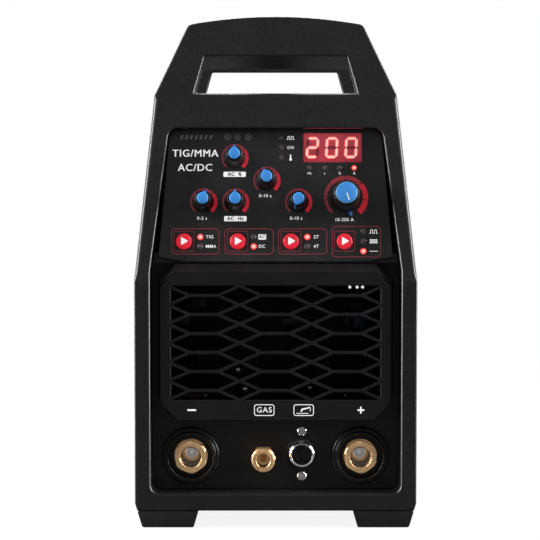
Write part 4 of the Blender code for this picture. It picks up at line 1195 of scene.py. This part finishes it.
def gas_outlet():
    where = on_floor("gas_outlet")
    body = [(2, -26), (4, -26), (4, -14), (6, -14), (6, 5.3), (7.2, 5.3), (7.5, 5.7)]
    for height in (6.4, 8.2, 10):
        body += [(7.5, height), (7, height + 0.5), (7, height + 0.9), (7.5, height + 1.4)]
    body += [(7.5, 12.2), (7.1, 12.8), (6.7, 13), (6, 13), (5.8, 12.4), (5.2, 12.4), (5, 13), (4.8, 13)]
    body += [(4.3, 12.3), (4.3, 4), (2, 3.6)]
    add("gas_outlet_spout", turned(body, 60), BRASS, where, "gas_outlet")
    valve = [(0, 3), (1.95, 3), (1.95, 5.2), (1.5, 6), (0.9, 6.1), (0.8, 5), (0, 5)]
    add("gas_outlet_valve", turned(valve, 24), BRASS_AMBER, where)
    # Painted shade: a dark lining stands for the shade deep in the bore.
    bore_shade = [(3.9, 4.1), (4.25, 4.1), (4.25, 12.2), (3.9, 11.9)]
    add("gas_outlet_bore_shade", turned(bore_shade), BRASS_IN_SHADE, where)
    flats, edge = hexagon(14.4, 8.2), hexagon(14.4, 7.7)
    nut = [(6.3, GAP), (edge, GAP), (flats, 0.8), (flats, 4.5), (edge, 5), (6.3, 5)]
    add("gas_outlet_ring", turned(nut, 72), BRASS_CAST, where, "gas_outlet_nut")


def torch_socket():
    where = on_floor("torch_socket_insert")
    shell = [(6, -13), (7.9, -13), (7.9, GAP), (8.7, GAP), (8.9, 0.5), (8.9, 0.9), (8.2, 1.2), (8.2, 2.2)]
    for height in (3, 4.6, 6.2):
        shell += [(8.2, height), (7.9, height + 0.4), (7.9, height + 0.6), (8.2, height + 1)]
    shell += [(8.2, 7.9), (7.95, 8.6), (7.5, 9), (7, 9), (6.55, 8.7), (6.2, 7.8), (6, 6.6)]
    add("torch_socket_sleeve", turned(shell, 60), CHROME, where, "torch_socket_shell")
    key = box((-1, -6, 3), (1, -4.6, 7.4))
    insert = carved(rod(5.7, -12, 3.6, 48), joins=[key])
    add("torch_socket_core", insert, TRIM, where, "torch_socket_insert")
    pin = [(0, 3.2), (0.55, 3.2), (0.55, 6.2), (0.35, 6.6), (0, 6.7)]
    ways = [radians(-90 + 360 / TORCH_PINS * (i + 0.5)) for i in range(TORCH_PINS)]
    pins = [moved(turned(pin, 12), shift(3.4 * cos(a), 3.4 * sin(a))) for a in ways]
    # Painted shade: the pins are darkened for the shade inside the socket.
    add("torch_socket_pins", merged(pins), BRASS_IN_SHADE, where)
    collar = [(9, 0.05), (10.3, 0.05), (10.3, 0.5), (10, 1.1), (8.35, 1.3), (8.35, 0.95), (9, 0.95)]
    add("torch_socket_gasket", turned(collar), RUBBER, where)
    recess = hexagon(2.6)
    head = [(0, -8), (1.5, -8), (1.5, GAP), (2.9, GAP), (3.1, 0.6), (3.1, 1.8), (2.95, 2.2), (2.6, 2.45)]
    head += [(2.45, 2.1), (2.1, 2.1), (1.95, 2.55), (recess, 2.5), (recess, 1), (0, 0.8)]
    for name in ("upper", "lower"):
        screw = f"torch_socket_{name}_screw"
        add(f"{name}_screw_head", turned(head), STEEL, on_floor(screw), screw)


# ---- Cover, handle and screws ----
LOUVRE_W = 3
LOUVRE_Z = (60, 100)
LOUVRES = [-COVER_HALF_L + 30 + 9 * i + LOUVRE_W / 2 for i in range(9)]
SHEET = 1.2


def top_cover():
    """A folded steel sheet, with pressed louvres low on both sides."""
    top = POCKET_TOP - GAP - 0.4
    low = POCKET_LOW + GAP
    outline = []
    for inset, thick, bend, corner in ((WALL + GAP, 0, 4, 3), (WALL + GAP + SHEET, SHEET, 2.8, 1.8)):
        half = [(case_half(low, inset), low, 0), (case_half(KINK_Z, inset), KINK_Z, bend)]
        half.append((case_half(top, inset), top - thick, corner))
        across = mirrored(half)
        outline += across if not thick else across[::-1]
    body = slab(arcs(outline), -COVER_HALF_L, COVER_HALF_L)
    slots = []
    for side, _ in SIDES:
        for y in LOUVRES:
            slot = plate(rounded_box(-LOUVRE_W / 2, LOUVRE_Z[0], LOUVRE_W / 2, LOUVRE_Z[1], 1.45), -10, 10)
            slots.append(moved(slot, shift(side * HALF_WIDTH, y) @ turn(90, "Z") @ turn(90, "X")))
    shape = softened(carved(body, [merged(slots)]), 0.25, 2, 40)
    balance_normals(add("cover_sheet", shape, POWDER, HERE, "top_cover"))
    for side, name in SIDES:
        add(f"louvre_hoods_{name}", merged(louvre_hood(side, y + 0.6) for y in LOUVRES), POWDER)


def louvre_hood(side, y0):
    """A pressed lip that rises beside a slot and reaches a little over it."""
    surface = case_half(KINK_Z, WALL + GAP)
    reach = ((3.6, -0.2), (2.9, 0.75), (1.6, 1.55), (0.3, 1.85))
    low, high = LOUVRE_Z
    steps = 6
    heights = [(low - 2 + 5 * i / steps, sin(pi / 2 * i / steps)) for i in range(steps + 1)]
    heights += [(low + high - z, rise) for z, rise in reversed(heights)]
    rings = []
    for z, rise in heights:
        outer = [(side * (surface + out * rise), y0 + y, z) for y, out in reach]
        under = [(side * (surface + (out - 0.55) * rise - 0.1), y0 + y, z) for y, out in reach]
        rings.append(outer + under[::-1])
    return loft(rings)


def handle():
    """A rubber grip with rounded edges and cross ribs."""
    low, high = 301.5, 325
    middle = (low + high) / 2
    outline = arcs(mirrored([(15, low, 4), (17, high - 7, 4), (13.4, high, 5)]))
    length = BEZEL_BACK - GAP
    ribbed, pitch = 78, 6
    stations = [(-length, 0.96), (-length + 0.8, 1)]
    for i in range(int(2 * ribbed / pitch)):
        start = -ribbed + i * pitch
        stations += [(start, 1), (start + 0.7, 0.93), (start + 1.9, 0.93), (start + 2.6, 1)]
    stations += [(length - 0.8, 1), (length, 0.96)]
    rings = [[(x * size, y, middle + (z - middle) * size) for x, z in outline] for y, size in stations]
    add("grip_sleeve", loft(rings), RUBBER, HERE, "handle_grip")


def cross_screw(radius):
    """A domed head with a cross recess."""
    dome = [(0, -1.5), (radius, -1.5), (radius, 0.2), (radius * 0.85, 0.7), (radius * 0.5, 1.05), (0, 1.15)]
    width, arm = radius * 0.13, radius * 0.55
    slots = [box((-x, -y, 0.3), (x, y, 2)) for x, y in ((arm, width), (width, arm))]
    return carved(turned(dome, 32), [merged(slots)])


def side_screws():
    for side, end in ((-1, "front"), (1, "rear")):
        for edge, name in SIDES:
            heads = [moved(cross_screw(3.2), side_place(edge, side, z) @ shift(0, 0, -1.4))
                     for z in SIDE_SCREW_Z]
            add(f"{end}_side_screws_{name}", merged(heads), STEEL)


# ---- Rear ----
def fan_guard():
    """Round wires on four arms, as a finger guard, with a disc in the middle."""
    wires = []
    for radius in (14, 22, 30, 38, 46, 54, 58.5):
        wires.append(turned(circle(0.8, 10, (radius, 1.15)), 72))
    for i in range(4):
        wires.append(moved(plate(rounded_box(12, -1.1, 58.6, 1.1, 0.9), 0.4, 1.5), turn(45 + 90 * i)))
    wires.append(turned([(0, GAP), (13, GAP), (13, 1.4), (12, 2), (0, 2.1)]))
    add("fan_guard_wires", merged(wires), CHROME, on_floor("fan_guard"), "fan_guard", slot="zinc_steel")


def fan():
    """A hub with seven swept blades, turning about the machine's long axis."""
    low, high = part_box("fan_rotor")
    x, z = centre("fan_rotor")
    where = shift(x, high.y / MM, z) @ turn(90, "X")
    depth = (high.y - low.y) / MM
    hub = [(0, 0), (18.5, 0), (20.3, 0.7), (21, 2.2), (21, depth), (0, depth)]
    parts = [turned(hub, 56)] + [moved(fan_blade(depth), turn(360 / 7 * i)) for i in range(7)]
    add("fan_wheel", merged(parts), TRIM, where, "fan_rotor", body="fan_rotor_body")
    label = turned([(0, -0.02), (14, -0.02), (14, 0.3), (0, 0.3)])
    add("fan_hub_disc", label, LABEL, where, body="fan_rotor_body")


def fan_blade(depth):
    rings = []
    for radius, sweep, low in ((19, 20, 3), (28, 18.5, 3.4), (38, 17, 4), (47, 15, 4.5), (55, 13, 5)):
        upper = []
        for k in range(7):
            share = k / 6
            angle = radians(-sweep + 2 * sweep * share + (radius - 38) * 0.25)
            rise = low + (depth - 2 * low) * (share ** 1.3)
            upper.append((radius * cos(angle), radius * sin(angle), rise))
        rings.append(upper + [(x, y, z + 1.3) for x, y, z in reversed(upper)])
    blade = loft(rings)
    bmesh.ops.triangulate(blade, faces=[cap for cap in blade.faces if len(cap.verts) > 4])
    return blade


def rear_fittings():
    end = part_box("gas_inlet")[1].y / MM - REAR_FLOOR_Y
    barb = [(2, -5.6), (5, -5.6), (5, GAP), *hex_flange(14, 7.3, 0.8, 4.5, 5), (3.9, 5.4)]
    for height in (end - 18, end - 12, end - 6):
        barb += [(3.8, height), (4.7, height + 0.4), (4.7, height + 0.9), (3.8, height + 5.4)]
    barb += [(3.4, end - 0.4), (3, end), (2, end)]
    add("gas_inlet_barb", turned(barb), BRASS, on_floor("gas_inlet"), "gas_inlet")
    stud = [(0, -7), (3.9, -7), (3.9, GAP), *hex_flange(13, 6.9, 0.7, 4.6, 5), (3, 5)]
    for i in range(7):
        stud += [(3, 5.6 + i), (2.65, 6 + i)]
    stud += [(3, 12.2), (2.5, 12.8), (0, 12.8)]
    add("earth_stud_thread", turned(stud), BRASS, on_floor("earth_stud"), "earth_stud")


def mains_switch():
    where = REAR_PANEL @ spot(*SWITCH_PLACE)
    flange = softened(plate(rounded_box(-13, -17, 13, 17, 1.5), GAP, 2.4), 0.5, 3, 60)
    housing = carved(flange, [box((-9, -13, -8), (9, 13, 4))], [box((-11, -15, -18), (11, 15, 1.5))])
    add("switch_surround", housing, TRIM, where, "switch_housing")
    tilt = turn(7.25, "X")
    profile = [(-12.3, -2), (-12.2, 2.2), (-11.4, 4.4), (-6, 2.4), (0, 1.6), (6, 2.4), (11.4, 4.4)]
    profile += [(12.2, 2.2), (12.3, -2), (4, -5), (-4, -5)]
    rings = [[(x, v, h) for v, h in profile] for x in (-8.6, 8.6)]
    rocker = moved(softened(loft(rings), 0.5, 2), tilt)
    add("switch_paddle", rocker, BUTTON_RED, where, "switch_rocker", body="rocker_body")
    on_mark = plate(rounded_box(-0.35, -2, 0.35, 2, 0.2, 2), 0, 0.2)
    off_mark = band(circle(2, 24), circle(1.4, 24), 0, 0.2)
    marks = [moved(mark, shift(0, end * 7, 2.62) @ turn(end * 10, "X"))
             for end, mark in ((-1, on_mark), (1, off_mark))]
    add("switch_marks", moved(merged(marks), tilt), INK_WHITE, where, body="rocker_body",
        slot="button_plastic")


def gland():
    where = REAR_PANEL @ spot(*GLAND_PLACE)
    body = [(5.2, -12), (8, -12), (8, GAP), *hex_flange(22, 11.9, 0.8, 4.1, 4.6), (8.6, 4.8)]
    body += [(8.6, 8), (5.2, 8)]
    add("gland_body", turned(body, 72), TRIM, where, "cable_gland")
    grip = fluted(11, 18, 0.5)
    cap = [(8.9, 5.1), (10.4, 5.1), (grip, 5.5), (grip, 9.4), (10, 10.6), (9.2, 12.2), (7.4, 13.8)]
    cap += [(6.8, 14), (5.7, 14), (5.2, 13.6), (5.2, 8.3), (8.9, 8.3)]
    add("gland_cap", turned(cap, 72), TRIM, where)


def rear_details():
    """A blank rating plate, its rivets, and the fan's screws."""
    where = REAR_PANEL @ spot(0, 236.5)
    rating = softened(plate(rounded_box(-30, -9, 30, 9, 1.5), 0.02, 0.6), 0.2, 2)
    add("rating_plate", rating, LABEL, where)
    bars = [rounded_box(-24, 4.6 - 3.3 * i, 24 - 6 * (i % 2), 5.4 - 3.3 * i, 0.3, 2) for i in range(4)]
    add("rating_plate_lines", merged(plate(bar, 0.6, 0.64) for bar in bars), TRIM, where)
    rivet = [(0, 0.5), (1.5, 0.5), (1.3, 1), (0.7, 1.35), (0, 1.4)]
    rivets = [moved(turned(rivet, 24), shift(side * 27.3)) for side in (-1, 1)]
    add("rating_plate_rivets", merged(rivets), ALUMINIUM, where)
    heads = [moved(cross_screw(3.6), shift(x, z, GAP)) for x in (-FAN_SCREW, FAN_SCREW)
             for z in (-FAN_SCREW, FAN_SCREW)]
    add("fan_screws", merged(heads), STEEL, on_floor("fan_guard"))


# ---- CAD nodes that keep their shape ----
def repaint():
    finishes = {
        "base_tray": ZINC, "control_board": BOARD, "power_board": BOARD, "fan_frame": TRIM,
        "solenoid_valve": FERRITE, "rectifier_heatsink": ALUMINIUM, "inverter_heatsink": ALUMINIUM,
        "transformer": FERRITE, "output_choke": ENAMEL_WIRE, "minus_busbar": COPPER, "plus_busbar": COPPER,
    }
    for name, finish in finishes.items():
        for holder in NODES[name].material_slots:
            holder.material = finish


# ---- Studio, in metres ----
def studio():
    ground()
    world = bpy.data.worlds.new("studio")
    bpy.context.scene.world = world
    world.use_nodes = True
    tree = world.node_tree
    way = node(tree, "SeparateXYZ", Vector=node(tree, "TexCoord").outputs["Generated"])
    sky = node(tree, "MapRange", Value=way.outputs["Z"], From_Min=0, From_Max=0.3, To_Min=0.10, To_Max=0.32)
    strength = by_ray(tree, sky.outputs["Result"], 1)
    feed(tree, tree.nodes["Background"], Color=(1, 1, 1, 1), Strength=strength)
    for side, name in SIDES:
        softbox(f"{name}_side", (side * 1.3, -0.25, 0.5), (0, -0.1, 0.17), (0.5, 1.3), 36)
        softbox(f"{name}_rear", (side * 1.2, 1.4, 0.8), (0, 0, 0.15), (0.8, 1.2), 16)
        softbox(f"{name}_edge", (side * 1.2, -0.42, 0.42), (0, -0.1, 0.2), (0.35, 1), 48, False)
    softbox("overhead", (0, 0.8, 1.5), (0, 0.1, 0.2), (1.2, 0.8), 16)
    softbox("top_edge", (0, 0.9, 1.1), (0, -0.1, 0.2), (1.2, 0.3), 20, False)
    bpy.context.scene.view_settings.view_transform = "Standard"


def softbox(name, place, target, size, watts, diffuse=True):
    """An area light, which shows only in reflections where diffuse is False."""
    light = bpy.data.lights.new(f"{name}_softbox", "AREA")
    light.shape = "RECTANGLE"
    light.size, light.size_y = size
    light.energy = watts
    obj = put(light.name, light)
    obj.location = place
    obj.visible_camera = False
    obj.visible_diffuse = diffuse
    obj.rotation_euler = (Vector(target) - Vector(place)).to_track_quat("-Z", "Y").to_euler()


def ground():
    """A pale floor that fades into the white surroundings with its distance."""
    bm = bmesh.new()
    bmesh.ops.create_circle(bm, cap_ends=True, segments=64, radius=12)
    floor = put_mesh("studio_floor", bm)
    made = bpy.data.materials.new("studio_floor")
    made.use_nodes = True
    tree = made.node_tree
    paper = feed(tree, tree.nodes["Principled BSDF"], Base_Color=(0.9, 0.9, 0.9, 1), Roughness=0.8)
    distance = node(tree, "VectorMath")
    distance.operation = "LENGTH"
    feed(tree, distance, Vector=node(tree, "TexCoord").outputs["Object"])
    fade = node(tree, "MapRange", Value=distance.outputs["Value"], From_Min=0.1, From_Max=0.8, To_Min=0.88)
    fade.interpolation_type = "SMOOTHSTEP"
    glow = node(tree, "Emission", Color=(1, 1, 1, 1), Strength=by_ray(tree, 0.12, 1))
    mix = node(tree, "MixShader", Fac=fade.outputs["Result"])
    tree.links.new(paper.outputs["BSDF"], mix.inputs[1])
    tree.links.new(glow.outputs["Emission"], mix.inputs[2])
    feed(tree, tree.nodes["Material Output"], Surface=mix.outputs["Shader"])
    floor.data.materials.append(made)


def camera():
    data = bpy.data.cameras.new("camera")
    data.lens = 147.64
    data.sensor_width = 36
    obj = put("camera", data)
    obj.location = (-0.00362, -1.570, 0.27465)
    obj.rotation_euler = (radians(85.533), 0, 0)
    bpy.context.scene.camera = obj


# ---- The whole scene ----
camera()
studio()
repaint()
bezel("front", -1, FRONT_FLOOR, LEDGE_DEPTH)
bezel("rear", 1, REAR_FLOOR, REAR_PANEL_DEPTH)
for build in (front_plate, rear_plates, inner_board, top_cover, handle, side_screws, front_grille,
              control_panel, dials, knob_labels, button_groups, heading, small_signs, display, knobs,
              buttons):
    build()
for pole in ("minus", "plus"):
    power_socket(pole)
for build in (gas_outlet, torch_socket, fan_guard, fan, rear_fittings, mains_switch, gland, rear_details):
    build()
